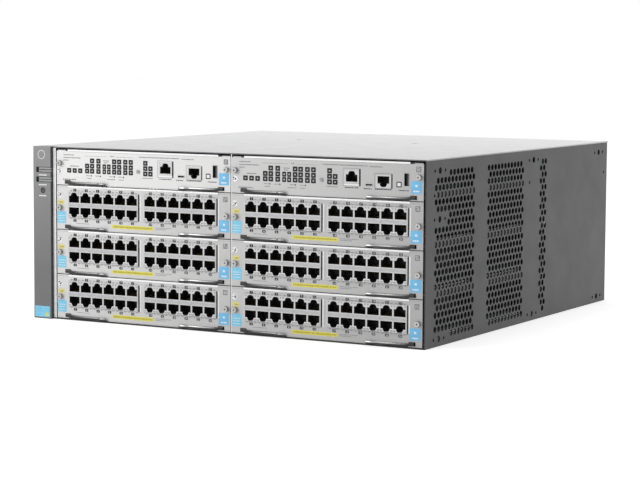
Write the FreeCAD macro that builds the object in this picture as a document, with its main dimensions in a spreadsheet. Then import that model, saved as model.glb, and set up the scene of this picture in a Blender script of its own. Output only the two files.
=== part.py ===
"""A rack-height modular chassis switch, 4 units tall, with eight front slots.

The top row holds two management modules and the three rows under it hold six
interface modules with twenty-four network sockets each. A fan tray stands
behind the left bezel and slides out to the rear beside two power supplies.

Lengths are millimetres. Every piece is drawn from the chassis corner: x runs
right from the left side, y runs back from the plane of the module faces and
z runs up from the underside. A placement then moves each piece to the model's
own frame, whose origin is the middle of the footprint on the floor.
"""
import FreeCAD, Part
import math
import os
import re

import Sketcher

DRIVING = {
    # Outside of the whole chassis and the sheet it is folded from
    "overall_width": 444.5,
    "overall_depth": 450.9,
    "overall_height": 175.3,
    "wall_gauge": 1.2,
    "cover_gauge": 1.2,
    "cover_lip": 6.0,
    "wall_bend": 2.0,
    "rear_corner_bend": 3.5,
    "rear_return": 14.0,
    "rear_setback": 10.0,
    "run_gap": 0.3,
    # Bezel in front of the fan bay
    "bezel_width": 22.3,
    "bezel_proud": 4.0,
    "bezel_back": 10.0,
    "bezel_wall": 3.4,
    "bezel_edge_round": 1.2,
    "notch_left": 4.5,
    "notch_tall": 5.6,
    "notch_deep": 2.0,
    "upper_notch_z": 149.0,
    "lower_notch_z": 139.1,
    "pipe_left": 7.5,
    "pipe_tall": 1.9,
    "pipe_pitch": 2.6,
    "pipe_proud": 1.6,
    "lens_x": 12.8,
    "lens_z": 130.8,
    "lens_radius": 2.9,
    # Fan bay wall, slot grid and card guides
    "strip_width": 3.5,
    "column_start": 27.4,
    "column_pitch": 207.9,
    "row_start": 1.6,
    "row_pitch": 45.2,
    "divider_gauge": 0.9,
    "ledge_gauge": 1.0,
    "ledge_lift": 0.5,
    "ledge_reach": 5.0,
    "ledge_front": 8.0,
    "guide_leg": 7.0,
    # Module faces, trays and boards
    "module_width": 206.4,
    "module_tall": 44.4,
    "manager_tall": 35.7,
    "face_gauge": 1.2,
    "face_return": 5.0,
    "tray_gauge": 1.0,
    "tray_side": 1.0,
    "tray_wall_tall": 6.0,
    "tray_corner": 20.0,
    "tray_corner_back": 11.0,
    "board_back": 256.0,
    "board_side": 5.0,
    "board_gauge": 1.6,
    "board_under": 10.8,
    "manager_board_under": 9.4,
    "post_side": 5.0,
    "plug_width": 90.0,
    "plug_left": 58.0,
    "plug_tall": 12.0,
    "plug_deep": 12.0,
    "plug_overhang": 6.0,
    "sink_width": 56.0,
    "sink_deep": 70.0,
    "sink_left": 34.0,
    "sink_pitch": 82.0,
    "sink_front": 90.0,
    "sink_base": 4.0,
    "fin_tall": 16.0,
    "fin_gauge": 2.0,
    "fin_pitch": 9.0,
    "screw_in": 4.3,
    "screw_radius": 2.7,
    "screw_proud": 3.4,
    "screw_back": 6.0,
    "screw_stem_radius": 1.5,
    "screw_up": 22.0,
    "manager_screw_up": 21.8,
    # Ejector levers
    "lever_pivot_left": 13.4,
    "lever_pivot_right": 10.5,
    "lever_pivot_back": 3.7,
    "lever_long": 48.0,
    "lever_gauge": 1.2,
    "lever_low": 1.3,
    "lever_tall": 3.2,
    "lever_boss_half": 2.6,
    "lever_tab_start": 38.0,
    "lever_tab_proud": 1.9,
    "lever_pin_radius": 1.2,
    "pin_play": 0.05,
    "lug_half": 3.2,
    "lug_gauge": 0.9,
    "lever_window_out": 5.6,
    "lever_window_in": 3.1,
    # Network sockets
    "port_pitch": 14.0,
    "port_width": 12.0,
    "port_tall": 6.3,
    "port_key_width": 6.0,
    "port_key_tall": 3.5,
    "port_deep": 13.0,
    "ports_in_row": 6,
    "block_width": 85.4,
    "block_tall": 26.2,
    "block_deep": 15.0,
    "block_proud": 1.5,
    "block_middle": 57.2,
    "block_pitch": 91.4,
    "port_band": 5.2,
    # Management module's own sockets and button
    "lan_x": 131.3,
    "lan_middle_z": 20.2,
    "serial_x": 164.7,
    "serial_middle_z": 16.8,
    "jack_width": 15.6,
    "jack_tall": 12.4,
    "jack_deep": 15.0,
    "usb_x": 188.8,
    "usb_low": 12.8,
    "usb_tall": 13.0,
    "usb_wide": 6.0,
    "micro_x": 149.6,
    "micro_low": 11.9,
    "micro_tall": 2.6,
    "micro_wide": 8.0,
    "button_x": 99.2,
    "button_z": 16.1,
    "button_radius": 1.9,
    "button_play": 0.35,
    "button_proud": 0.8,
    "button_travel": 1.2,
    "button_long": 6.5,
    "switch_side": 6.4,
    "switch_deep": 5.0,
    # Backplane behind the modules
    "backplane_gap": 0.3,
    "backplane_gauge": 2.4,
    "header_deep": 3.7,
    # Fan tray and its fans
    "fan_count": 3,
    "fan_first": 74.0,
    "fan_pitch": 134.0,
    "fan_side": 119.0,
    "fan_bore": 54.0,
    "fan_deep": 16.0,
    "fan_tray_front": 12.2,
    "fan_tray_top": 167.4,
    "fan_sheet": 1.0,
    "fan_axis_z": 84.0,
    "blade_gap": 3.0,
    "hub_radius": 20.0,
    "rotor_deep": 11.0,
    "spindle_radius": 2.0,
    "spindle_play": 0.05,
    "strut_width": 5.0,
    "strut_gauge": 2.0,
    "fan_handle_tall": 70.0,
    "fan_handle_bar": 5.0,
    # Side wall openings
    "vent_columns": 5,
    "vent_rows": 12,
    "vent_pitch_y": 16.0,
    "vent_pitch_z": 13.2,
    "vent_radius": 6.1,
    "vent_first_z": 13.0,
    "vent_front_y": 23.5,
    "vent_middle_y": 138.0,
    "vent_rear_y": 262.0,
    "vent_clear": 12.0,
    "outlet_pitch": 19.0,
    "outlet_radius": 7.6,
    "bracket_front_y": 28.5,
    "bracket_middle_y": 244.0,
    "bracket_rear_y": 419.5,
    "bracket_low_z": 6.8,
    "bracket_high_z": 164.2,
    "bracket_between_z": 119.0,
    "bracket_hole_radius": 2.7,
    # Cover slots
    "cover_slot_y": 271.5,
    "cover_slot_left_x": 154.0,
    "cover_slot_right_x": 295.0,
    "cover_slot_long": 6.0,
    "cover_slot_wide": 1.8,
    # Power supplies
    "supply_width": 195.0,
    "supply_tall": 81.0,
    "supply_first_x": 30.5,
    "supply_pitch": 202.0,
    "supply_front": 276.3,
    "supply_opening_gap": 0.8,
    "supply_fan_x": 152.0,
    "supply_fan_radius": 34.0,
    "supply_fan_recess": 24.0,
    "supply_rotor_deep": 12.0,
    "supply_hub_radius": 14.0,
    "guard_bar": 2.4,
    "guard_ring": 18.0,
    "inlet_x": 40.0,
    "inlet_width": 30.0,
    "inlet_tall": 22.0,
    "inlet_deep": 18.0,
    "inlet_pin_wide": 7.0,
    "inlet_pin_tall": 2.2,
    "inlet_pin_long": 14.0,
    "inlet_pin_offset": 8.0,
    "inlet_earth_up": 5.5,
    "supply_handle_x": 92.0,
    "supply_handle_tall": 52.0,
    "handle_bar": 4.0,
    "handle_reach": 9.2,
    "latch_x": 72.0,
    "latch_wide": 10.0,
    "latch_tall": 16.0,
    "latch_travel": 3.0,
    "latch_proud": 7.0,
    "latch_sink": 9.0,
    # Screws and earth point on the rear panel
    "rear_screw_radius": 3.0,
    "rear_screw_proud": 1.8,
    "rear_screw_count": 5,
    "rear_screw_first_x": 60.0,
    "rear_screw_pitch": 80.0,
    "rear_screw_up": 8.0,
    "earth_x": 330.0,
    "earth_z": 110.0,
    "earth_spacing": 16.0,
    "earth_radius": 2.1,
}

# Lengths that follow from the driving ones
DERIVED = {
    "body_back": "overall_depth - bezel_proud",
    "wall_top": "overall_height - cover_gauge",
    "fan_wall_x": "bezel_width + 0.5",
    "fan_wall_right": "fan_wall_x + wall_gauge",
    "tray_lift": "ledge_lift + ledge_gauge + run_gap",
    "tray_top": "tray_lift + tray_gauge",
    "module_back": "board_back + plug_overhang",
    "header_front": "module_back + backplane_gap",
    "backplane_front": "header_front + header_deep",
    "backplane_rear": "backplane_front + backplane_gauge",
    "rear_plane": "body_back - rear_setback",
    "divider_x": "column_start + (column_pitch + module_width - divider_gauge) / 2",
    "lever_top": "lever_low + lever_tall",
    "lug_low": "lever_low - run_gap - lug_gauge",
    "lug_high": "lever_top + run_gap",
    "lever_face": "0 - run_gap - lever_gauge",
    "block_low": "board_under + board_gauge",
    "port_low_z": "block_low + block_tall / 2 - port_band / 2",
    "port_high_z": "block_low + block_tall / 2 + port_band / 2",
    "manager_board_top": "manager_board_under + board_gauge",
    "fan_tray_left": "wall_gauge + run_gap",
    "fan_tray_right": "fan_wall_x - run_gap",
    "fan_tray_low": "wall_gauge + run_gap",
    "fan_face_x": "fan_tray_right - fan_sheet",
    "supply_low": "wall_gauge + run_gap",
    "supply_mid_z": "supply_low + supply_tall / 2",
    "supply_rear": "rear_plane",
}

DOC = FreeCAD.newDocument("modular_chassis_switch")
SIZES = DOC.addObject("Spreadsheet::Sheet", "Sizes")
ROUND = 360.0


def fill_sheet():
    """Write every driving and derived length into its own named cell."""
    row = 0
    for name, value in DRIVING.items():
        row += 1
        SIZES.set(f"A{row}", name)
        SIZES.set(f"B{row}", str(value))
        SIZES.setAlias(f"B{row}", name)
    for name, formula in DERIVED.items():
        row += 1
        SIZES.set(f"A{row}", name)
        SIZES.set(f"B{row}", f"={formula}")
        SIZES.setAlias(f"B{row}", name)
    DOC.recompute()


WORD = re.compile(r"[a-z]+(?:_[a-z]+)+")


def bound(formula):
    """Turn plain size names in a formula into references to the sheet."""
    return WORD.sub(lambda found: f"Sizes.{found.group(0)}", str(formula))


def size(formula):
    """The present value of a formula of size names."""
    return float(SIZES.evalExpression(bound(formula)))


def origin_plane(body, role):
    return next(item for item in body.Origin.OriginFeatures if item.Role == role)


def new_body(name):
    return DOC.addObject("PartDesign::Body", name)


def new_sketch(body, role, offset):
    """A sketch on one of the body's own origin planes, moved along its normal."""
    sketch = body.newObject("Sketcher::SketchObject", f"{body.Name}_sketch")
    sketch.AttachmentSupport = [(origin_plane(body, role), "")]
    sketch.MapMode = "FlatFace"
    sketch.setExpression("AttachmentOffset.Base.z", bound(offset))
    return sketch


def draw_outline(sketch, corners):
    """Close a ring of straight edges whose corners are bound to size formulas."""
    first = sketch.GeometryCount
    count = len(corners)
    points = [FreeCAD.Vector(size(across), size(up), 0) for across, up in corners]
    for index, point in enumerate(points):
        sketch.addGeometry(Part.LineSegment(point, points[(index + 1) % count]), False)
    rules = []
    for index, point in enumerate(points):
        line = first + index
        rules.append(Sketcher.Constraint("Coincident", line, 2, first + (index + 1) % count, 1))
        rules.append(Sketcher.Constraint("DistanceX", -1, 1, line, 1, point.x))
        rules.append(Sketcher.Constraint("DistanceY", -1, 1, line, 1, point.y))
    ids = sketch.addConstraint(rules)
    for index, (across, up) in enumerate(corners):
        sketch.setExpression(f"Constraints[{ids[3 * index + 1]}]", bound(across))
        sketch.setExpression(f"Constraints[{ids[3 * index + 2]}]", bound(up))


def draw_box(sketch, left, right, low, high):
    draw_outline(sketch, [(left, low), (right, low), (right, high), (left, high)])


def draw_circle(sketch, across, up, radius):
    centre = FreeCAD.Vector(size(across), size(up), 0)
    ring = sketch.addGeometry(
        Part.Circle(centre, FreeCAD.Vector(0, 0, 1), size(radius)), False
    )
    ids = sketch.addConstraint([
        Sketcher.Constraint("DistanceX", -1, 1, ring, 3, centre.x),
        Sketcher.Constraint("DistanceY", -1, 1, ring, 3, centre.y),
        Sketcher.Constraint("Radius", ring, size(radius)),
    ])
    for constraint, formula in zip(ids, (across, up, radius)):
        sketch.setExpression(f"Constraints[{constraint}]", bound(formula))


def pad(body, sketch, length, backwards=False):
    """Add the sketch's outline, along the normal or against it."""
    feature = body.newObject("PartDesign::Pad", f"{body.Name}_pad")
    feature.Profile = sketch
    feature.Reversed = backwards
    feature.setExpression("Length", bound(length))
    sketch.Visibility = False
    return feature


def pocket(body, sketch, length, backwards=False):
    """Cut the sketch's outline away, against the normal or along it."""
    feature = body.newObject("PartDesign::Pocket", f"{body.Name}_pocket")
    feature.Profile = sketch
    feature.Reversed = backwards
    feature.setExpression("Length", bound(length))
    return feature


# In a front sketch x is across and y is up, and its normal points forward.
def front_block(body, start, end, boxes):
    """Boxes seen from the front, from depth start back to depth end."""
    sketch = new_sketch(body, "XZ_Plane", f"0 - ({start})")
    for box in boxes:
        draw_box(sketch, *box)
    return pad(body, sketch, f"({end}) - ({start})", backwards=True)


def floor_block(body, low, high, boxes):
    """Boxes seen from above, from height low up to height high."""
    sketch = new_sketch(body, "XY_Plane", low)
    for box in boxes:
        draw_box(sketch, *box)
    return pad(body, sketch, f"({high}) - ({low})")


def front_pins(body, start, end, circles):
    """Round pins seen from the front, from depth start back to depth end."""
    sketch = new_sketch(body, "XZ_Plane", f"0 - ({start})")
    for circle in circles:
        draw_circle(sketch, *circle)
    return pad(body, sketch, f"({end}) - ({start})", backwards=True)


def straight_edges(shape, direction, near):
    """Names of the straight edges along an axis that pass within reach of a point.

    The point gives None for the coordinate that runs along the edges."""
    names = []
    for index, edge in enumerate(shape.Edges):
        if edge.Curve.TypeId != "Part::GeomLine":
            continue
        run = edge.tangentAt(edge.FirstParameter)
        if abs(abs(run.dot(direction)) - 1) > 1e-6:
            continue
        middle = edge.CenterOfMass
        gaps = [abs(got - want) for got, want in zip(middle, near) if want is not None]
        if max(gaps) < 0.01:
            names.append(f"Edge{index + 1}")
    return names


def round_edges(body, direction, near, radius):
    """Round the named straight edges of the body as it stands."""
    DOC.recompute()
    base = body.Tip
    names = straight_edges(base.Shape, direction, near)
    feature = body.newObject("PartDesign::Fillet", f"{body.Name}_round")
    feature.Base = (base, names)
    feature.setExpression("Radius", bound(radius))
    return feature


X_AXIS = FreeCAD.Vector(1, 0, 0)
Y_AXIS = FreeCAD.Vector(0, 1, 0)
Z_AXIS = FreeCAD.Vector(0, 0, 1)
NODES = []
MASTERS = {}


def place(item, label, across="0", back="0", up="0"):
    """Name a finished piece and move it from the chassis corner to the model frame."""
    item.Label = label
    item.setExpression("Placement.Base.x", bound(f"{across} - overall_width / 2"))
    item.setExpression("Placement.Base.y", bound(f"{back} + bezel_proud - overall_depth / 2"))
    item.setExpression("Placement.Base.z", bound(up))
    NODES.append(item)
    return item


def copy_of(master, label, across="0", back="0", up="0"):
    """A further piece of the same form as the master, in its own place."""
    item = DOC.addObject("Part::Compound", f"{label}_piece")
    item.Links = [master]
    MASTERS[label] = master
    return place(item, label, across, back, up)


def hexagon_bar(middle, radius, turn, along):
    """A six-sided punch with one corner turned by an angle from the first axis."""
    side = along.cross(Z_AXIS) if abs(along.z) < 0.5 else X_AXIS
    other = along.cross(side)
    corners = []
    for step in range(7):
        angle = math.radians(turn + 60 * step)
        corners.append(middle + side * (radius * math.cos(angle)) + other * (radius * math.sin(angle)))
    return Part.Face(Part.makePolygon(corners)).extrude(along * size("wall_gauge * 3"))


def bracket_holes():
    """Where both walls are bored for rack brackets, as depth and height formulas."""
    rows = ("bracket_low_z", "bracket_high_z")
    columns = ("bracket_front_y", "bracket_middle_y", "bracket_rear_y")
    return [(back, up) for back in columns for up in rows] + [("bracket_front_y", "bracket_between_z")]


def near_bracket_hole(back, up):
    """True where an air hole would crowd the flat round a bracket hole."""
    return any(
        math.hypot(back - size(hole_back), up - size(hole_up)) < size("vent_clear")
        for hole_back, hole_up in bracket_holes()
    )


def vent_punches():
    """Punches for the three bands of air inlets in the right wall."""
    punches = []
    outer = size("overall_width - 2 * wall_gauge")
    bands = (
        ("vent_front_y", "vent_columns"),
        ("vent_middle_y", "vent_columns"),
        ("vent_rear_y", "1"),
    )
    for start, columns in bands:
        for row in range(int(size("vent_rows"))):
            stagger = size("vent_pitch_y") / 2 * (row % 2)
            for column in range(int(size(columns))):
                back = size(start) + stagger + size("vent_pitch_y") * column
                up = size("vent_first_z") + size("vent_pitch_z") * row
                if near_bracket_hole(back, up):
                    continue
                punches.append(hexagon_bar(FreeCAD.Vector(outer, back, up), size("vent_radius"), 90, X_AXIS))
    return punches


def outlet_punches():
    """Punches for the round fields of air outlets in the left wall, one to a fan."""
    punches = []
    pitch = size("outlet_pitch")
    for fan in range(int(size("fan_count"))):
        centre_y = size("fan_first") + size("fan_pitch") * fan
        for row in range(-2, 3):
            for column in range(5 - abs(row)):
                middle = FreeCAD.Vector(
                    -size("wall_gauge"),
                    centre_y + pitch * (column - (4 - abs(row)) / 2),
                    size("fan_axis_z") + pitch * row * math.sqrt(0.75),
                )
                punches.append(hexagon_bar(middle, size("outlet_radius"), 90, X_AXIS))
    return punches


def make_chassis_tray():
    """Floor and both side walls, folded from one sheet and punched for air."""
    body = new_body("TraySheet")
    profile = new_sketch(body, "XZ_Plane", "0")
    draw_outline(profile, [
        ("0", "0"),
        ("overall_width", "0"),
        ("overall_width", "wall_top"),
        ("overall_width - wall_gauge", "wall_top"),
        ("overall_width - wall_gauge", "wall_gauge"),
        ("wall_gauge", "wall_gauge"),
        ("wall_gauge", "wall_top"),
        ("0", "wall_top"),
    ])
    pad(body, profile, "body_back", backwards=True)
    floor_block(body, "0", "wall_top", [
        ("overall_width - rear_return", "overall_width", "body_back - wall_gauge", "body_back"),
    ])
    # The front left corner stands back to make room for the bezel and ends in a bulkhead.
    corner = new_sketch(body, "XY_Plane", "0")
    draw_box(corner, "0 - wall_gauge", "bezel_width + run_gap", "0 - wall_gauge", "bezel_back")
    pocket(body, corner, "overall_height", backwards=True)
    floor_block(body, "0", "wall_top", [
        ("0", "fan_wall_x", "bezel_back", "bezel_back + wall_gauge"),
    ])
    holes = new_sketch(body, "YZ_Plane", "0 - wall_gauge")
    for back, up in bracket_holes():
        draw_circle(holes, back, up, "bracket_hole_radius")
    pocket(body, holes, "overall_width + 2 * wall_gauge", backwards=True)
    right = size("overall_width")
    rear = size("body_back")
    gauge = size("wall_gauge")
    round_edges(body, Z_AXIS, (right, rear, None), "rear_corner_bend")
    round_edges(body, Z_AXIS, (right - gauge, rear - gauge, None), "rear_corner_bend - wall_gauge")
    punches = DOC.addObject("Part::Feature", "AirPunches")
    punches.Shape = Part.makeCompound(vent_punches() + outlet_punches())
    tray = DOC.addObject("Part::Cut", "PunchedTray")
    tray.Base = body
    tray.Tool = punches
    return place(tray, "chassis_tray")


def make_top_cover():
    """Flat cover with lips turned down inside the walls and two small slots."""
    body = new_body("Cover")
    sheet = new_sketch(body, "XY_Plane", "wall_top")
    corner_x = "bezel_width + run_gap"
    draw_outline(sheet, [
        (corner_x, "0"),
        ("overall_width", "0"),
        ("overall_width", "body_back"),
        ("0", "body_back"),
        ("0", "bezel_back"),
        (corner_x, "bezel_back"),
    ])
    for middle in ("cover_slot_left_x", "cover_slot_right_x"):
        draw_box(
            sheet,
            f"{middle} - cover_slot_long / 2", f"{middle} + cover_slot_long / 2",
            "cover_slot_y - cover_slot_wide / 2", "cover_slot_y + cover_slot_wide / 2",
        )
    pad(body, sheet, "cover_gauge")
    start = "bezel_back + 2 * wall_gauge"
    end = "body_back - rear_return"
    floor_block(body, "wall_top - cover_lip", "wall_top", [
        ("wall_gauge", "2 * wall_gauge", start, end),
        ("overall_width - 2 * wall_gauge", "overall_width - wall_gauge", start, end),
    ])
    return place(body, "top_cover")


def make_rear_panel():
    """Rear sheet with two notches for the power supplies, set in from the walls."""
    body = new_body("RearSheet")
    sketch = new_sketch(body, "XZ_Plane", "0 - (rear_plane - wall_gauge)")
    gap = "supply_opening_gap"
    top = "supply_low + supply_tall + supply_opening_gap"
    corners = [("fan_wall_x", "wall_gauge"), ("fan_wall_x", "wall_top")]
    corners += [("overall_width - wall_gauge", "wall_top"), ("overall_width - wall_gauge", "wall_gauge")]
    for left in ("supply_first_x + supply_pitch", "supply_first_x"):
        corners += [
            (f"{left} + supply_width + {gap}", "wall_gauge"),
            (f"{left} + supply_width + {gap}", top),
            (f"{left} - {gap}", top),
            (f"{left} - {gap}", "wall_gauge"),
        ]
    draw_outline(sketch, corners)
    for side in ("earth_x - earth_spacing / 2", "earth_x + earth_spacing / 2"):
        draw_circle(sketch, side, "earth_z", "earth_radius")
    pad(body, sketch, "wall_gauge", backwards=True)
    return place(body, "rear_panel")


def make_rear_screws():
    """Pan-head screws that hold the cover to the rear panel."""
    heads = []
    for number in range(int(size("rear_screw_count"))):
        head = DOC.addObject("Part::Cylinder", f"RearScrew{number}")
        head.setExpression("Radius", bound("rear_screw_radius"))
        head.setExpression("Height", bound("rear_screw_proud"))
        head.setExpression("Placement.Base.x", bound(f"rear_screw_first_x + rear_screw_pitch * {number}"))
        head.setExpression("Placement.Base.y", bound("rear_plane"))
        head.setExpression("Placement.Base.z", bound("wall_top - rear_screw_up"))
        head.Placement.Rotation = FreeCAD.Rotation(X_AXIS, -90)
        heads.append(head)
    group = DOC.addObject("Part::Compound", "RearScrews")
    group.Links = heads
    return place(group, "rear_screws")


def slot_row(number):
    """Height of a slot row's lowest edge; row 0 is the lowest."""
    return f"row_start + row_pitch * {number}"


def ledge_boxes(left, right):
    """The four ledges that carry the module trays, seen from the front."""
    boxes = []
    for number in range(4):
        low = f"{slot_row(number)} + ledge_lift"
        boxes.append((left, right, low, f"{low} + ledge_gauge"))
    return boxes


def make_fan_bay_wall():
    """Wall between fans and modules with a bright front strip and four ledges."""
    body = new_body("FanBayWall")
    plan = new_sketch(body, "XY_Plane", "wall_gauge")
    draw_outline(plan, [
        ("fan_wall_x", "0"),
        ("fan_wall_x + strip_width", "0"),
        ("fan_wall_x + strip_width", "wall_gauge"),
        ("fan_wall_right", "wall_gauge"),
        ("fan_wall_right", "rear_plane - wall_gauge"),
        ("fan_wall_x", "rear_plane - wall_gauge"),
    ])
    pad(body, plan, "wall_top - wall_gauge")
    front_block(
        body, "ledge_front", "module_back",
        ledge_boxes("fan_wall_right", "column_start + ledge_reach"),
    )
    openings = new_sketch(body, "YZ_Plane", "fan_wall_x - 1")
    for fan in range(int(size("fan_count"))):
        draw_circle(openings, f"fan_first + fan_pitch * {fan}", "fan_axis_z", "fan_bore")
    pocket(body, openings, "wall_gauge + 1", backwards=True)
    return place(body, "fan_bay_wall")


def make_centre_divider():
    """Sheet between the two module columns with ledges on both sides."""
    body = new_body("Divider")
    floor_block(body, "wall_gauge", "wall_top", [
        ("divider_x", "divider_x + divider_gauge", "0.5", "backplane_front"),
    ])
    left = ledge_boxes("column_start + module_width - ledge_reach", "divider_x")
    right = ledge_boxes("divider_x + divider_gauge", "column_start + column_pitch + ledge_reach")
    front_block(body, "ledge_front", "module_back", left + right)
    return place(body, "centre_divider")


def make_right_guides():
    """Four angle strips on the right wall that carry the right-hand modules."""
    strips = []
    left = "column_start + column_pitch + module_width - ledge_reach"
    inner = "overall_width - wall_gauge - ledge_gauge"
    for number in range(4):
        body = new_body(f"GuideStrip{number}")
        low = f"{slot_row(number)} + ledge_lift"
        sketch = new_sketch(body, "XZ_Plane", "0 - ledge_front")
        draw_outline(sketch, [
            (left, low),
            ("overall_width - wall_gauge", low),
            ("overall_width - wall_gauge", f"{low} + guide_leg"),
            (inner, f"{low} + guide_leg"),
            (inner, f"{low} + ledge_gauge"),
            (left, f"{low} + ledge_gauge"),
        ])
        pad(body, sketch, "module_back - ledge_front", backwards=True)
        strips.append(body)
    group = DOC.addObject("Part::Compound", "GuideStrips")
    group.Links = strips
    return place(group, "right_guides")


def make_backplane():
    """Upright circuit board with a header for each slot and one for each supply."""
    body = new_body("BackplaneBoard")
    front_block(body, "backplane_front", "backplane_rear", [
        ("fan_wall_right", "overall_width - wall_gauge", "wall_gauge", "wall_top - cover_lip - run_gap"),
    ])
    headers = []
    for column in range(2):
        left = f"column_start + column_pitch * {column} + plug_left"
        for number in range(4):
            under = "manager_board_top" if number == 3 else "block_low"
            low = f"{slot_row(number)} + {under}"
            headers.append((left, f"{left} + plug_width", low, f"{low} + plug_tall"))
    front_block(body, "header_front", "backplane_front", headers)
    sockets = []
    for column in range(2):
        left = f"supply_first_x + supply_pitch * {column} + supply_width / 3"
        sockets.append((left, f"{left} + supply_width / 3", "supply_mid_z - 8", "supply_mid_z + 8"))
    front_block(body, "backplane_rear", "supply_front - backplane_gap", sockets)
    return place(body, "backplane")


def make_front_bezel():
    """Moulded cover in front of the fan bay with two notches and a lens hole."""
    body = new_body("Bezel")
    plan = new_sketch(body, "XY_Plane", "0")
    draw_outline(plan, [
        ("0", "0 - bezel_proud"),
        ("bezel_width", "0 - bezel_proud"),
        ("bezel_width", "bezel_back"),
        ("0", "bezel_back"),
    ])
    pad(body, plan, "overall_height")
    hollow = new_sketch(body, "XZ_Plane", "0 - bezel_back")
    draw_box(
        hollow,
        "bezel_wall / 2", "bezel_width - bezel_wall / 2",
        "bezel_wall / 2", "overall_height - bezel_wall / 2",
    )
    pocket(body, hollow, "bezel_back + bezel_proud - bezel_wall", backwards=True)
    notches = new_sketch(body, "XZ_Plane", "bezel_proud")
    for low in ("lower_notch_z", "upper_notch_z"):
        draw_box(notches, "notch_left", "bezel_width + 1", low, f"{low} + notch_tall")
    pocket(body, notches, "notch_deep")
    eye = new_sketch(body, "XZ_Plane", "bezel_proud")
    draw_circle(eye, "lens_x", "lens_z", "lens_radius")
    pocket(body, eye, "bezel_wall")
    round_edges(body, Z_AXIS, (0, -size("bezel_proud"), None), "bezel_edge_round")
    return place(body, "front_bezel")


def make_light_pipes():
    """Four clear bars in the bezel's notches and the locator lens."""
    pieces = []
    for number, low in enumerate(("lower_notch_z", "upper_notch_z")):
        for step in range(2):
            bar = new_body(f"LightBar{number}{step}")
            middle = f"{low} + notch_tall / 2 + pipe_pitch * ({step} - 0.5)"
            front_block(bar, "0 - bezel_proud + notch_deep - pipe_proud", "0 - bezel_proud + notch_deep", [
                ("pipe_left", "bezel_width", f"{middle} - pipe_tall / 2", f"{middle} + pipe_tall / 2"),
            ])
            pieces.append(bar)
    lens = new_body("LocatorLens")
    front_pins(lens, "0 - bezel_proud", "bezel_wall - bezel_proud", [("lens_x", "lens_z", "lens_radius")])
    group = DOC.addObject("Part::Compound", "LightPipes")
    group.Links = pieces + [lens]
    return place(group, "bezel_light_pipes")


def make_carrier(name, tall, under, screw_up, windows, posts):
    """Module face and tray: one folded sheet with its captive screws and lever pins."""
    body = new_body(name)
    face = new_sketch(body, "XZ_Plane", "0")
    draw_box(face, "0", "module_width", "0", tall)
    for window in windows:
        draw_box(face, *window)
    left = "lever_pivot_left"
    right = "module_width - lever_pivot_right"
    window_top = "lug_high"
    draw_box(face, f"{left} - lever_window_out", f"{left} + lever_window_in", "lug_low + lug_gauge", window_top)
    draw_box(face, f"{right} - lever_window_in", f"{right} + lever_window_out", "lug_low + lug_gauge", window_top)
    pad(body, face, "face_gauge", backwards=True)
    tray = new_sketch(body, "XY_Plane", "tray_lift")
    draw_outline(tray, [
        ("tray_corner", "0"),
        ("module_width - tray_corner", "0"),
        ("module_width - tray_corner", "tray_corner_back"),
        ("module_width - tray_side", "tray_corner_back"),
        ("module_width - tray_side", "board_back"),
        ("tray_side", "board_back"),
        ("tray_side", "tray_corner_back"),
        ("tray_corner", "tray_corner_back"),
    ])
    pad(body, tray, "tray_gauge")
    floor_block(body, "tray_lift", "tray_top + tray_wall_tall", [
        ("tray_side", "tray_side + tray_gauge", "tray_corner_back", "board_back"),
        (
            "module_width - tray_side - tray_gauge", "module_width - tray_side",
            "tray_corner_back", "board_back",
        ),
    ])
    floor_block(body, f"{tall} - tray_gauge", tall, [
        ("tray_side", "module_width - tray_side", "0", "face_gauge + face_return"),
    ])
    for pivot in (left, right):
        lugs = (f"{pivot} - lug_half", f"{pivot} + lug_half", "0", "lever_pivot_back + lug_half")
        floor_block(body, "lug_low", "lug_low + lug_gauge", [lugs])
        floor_block(body, "lug_high", "lug_high + lug_gauge", [lugs])
    pins = new_sketch(body, "XY_Plane", "lug_low")
    for pivot in (left, right):
        draw_circle(pins, pivot, "lever_pivot_back", "lever_pin_radius")
    pad(body, pins, "lug_high + lug_gauge - lug_low")
    floor_block(body, "tray_top", under, [
        (f"{across} - post_side / 2", f"{across} + post_side / 2",
         f"{back} - post_side / 2", f"{back} + post_side / 2")
        for across, back in posts
    ])
    heads = [("screw_in", screw_up), ("module_width - screw_in", screw_up)]
    front_pins(body, "0 - screw_proud", "face_gauge", [(x, z, "screw_radius") for x, z in heads])
    front_pins(body, "0", "screw_back", [(x, z, "screw_stem_radius") for x, z in heads])
    return body


def post_places():
    rows = ("24", "board_back / 2", "board_back - 12")
    columns = ("board_side + 6", "module_width - board_side - 6")
    return [(across, back) for across in columns for back in rows]


def block_edges(number):
    middle = f"block_middle + block_pitch * {number}"
    return f"{middle} - block_width / 2", f"{middle} + block_width / 2"


def make_interface_carrier():
    windows = []
    for number in range(2):
        left, right = block_edges(number)
        windows.append((left, right, "block_low", "block_low + block_tall"))
    return make_carrier(
        "InterfaceCarrier", "module_tall", "board_under", "screw_up", windows, post_places()
    )


def add_heat_sinks(body, floor, base, fins):
    """Two finned heat sinks that stand on the board, fins along the module."""
    boxes = []
    for number in range(2):
        left = f"sink_left + sink_pitch * {number}"
        boxes.append((left, f"{left} + sink_width", "sink_front", "sink_front + sink_deep"))
    floor_block(body, floor, f"{floor} + {base}", boxes)
    fin_boxes = []
    for left, _, front, back in boxes:
        for fin in range(fins):
            start = f"{left} + fin_pitch * {fin} + fin_gauge / 2"
            fin_boxes.append((start, f"{start} + fin_gauge", front, back))
    floor_block(body, f"{floor} + {base}", f"{floor} + {base} + fin_tall", fin_boxes)


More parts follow.
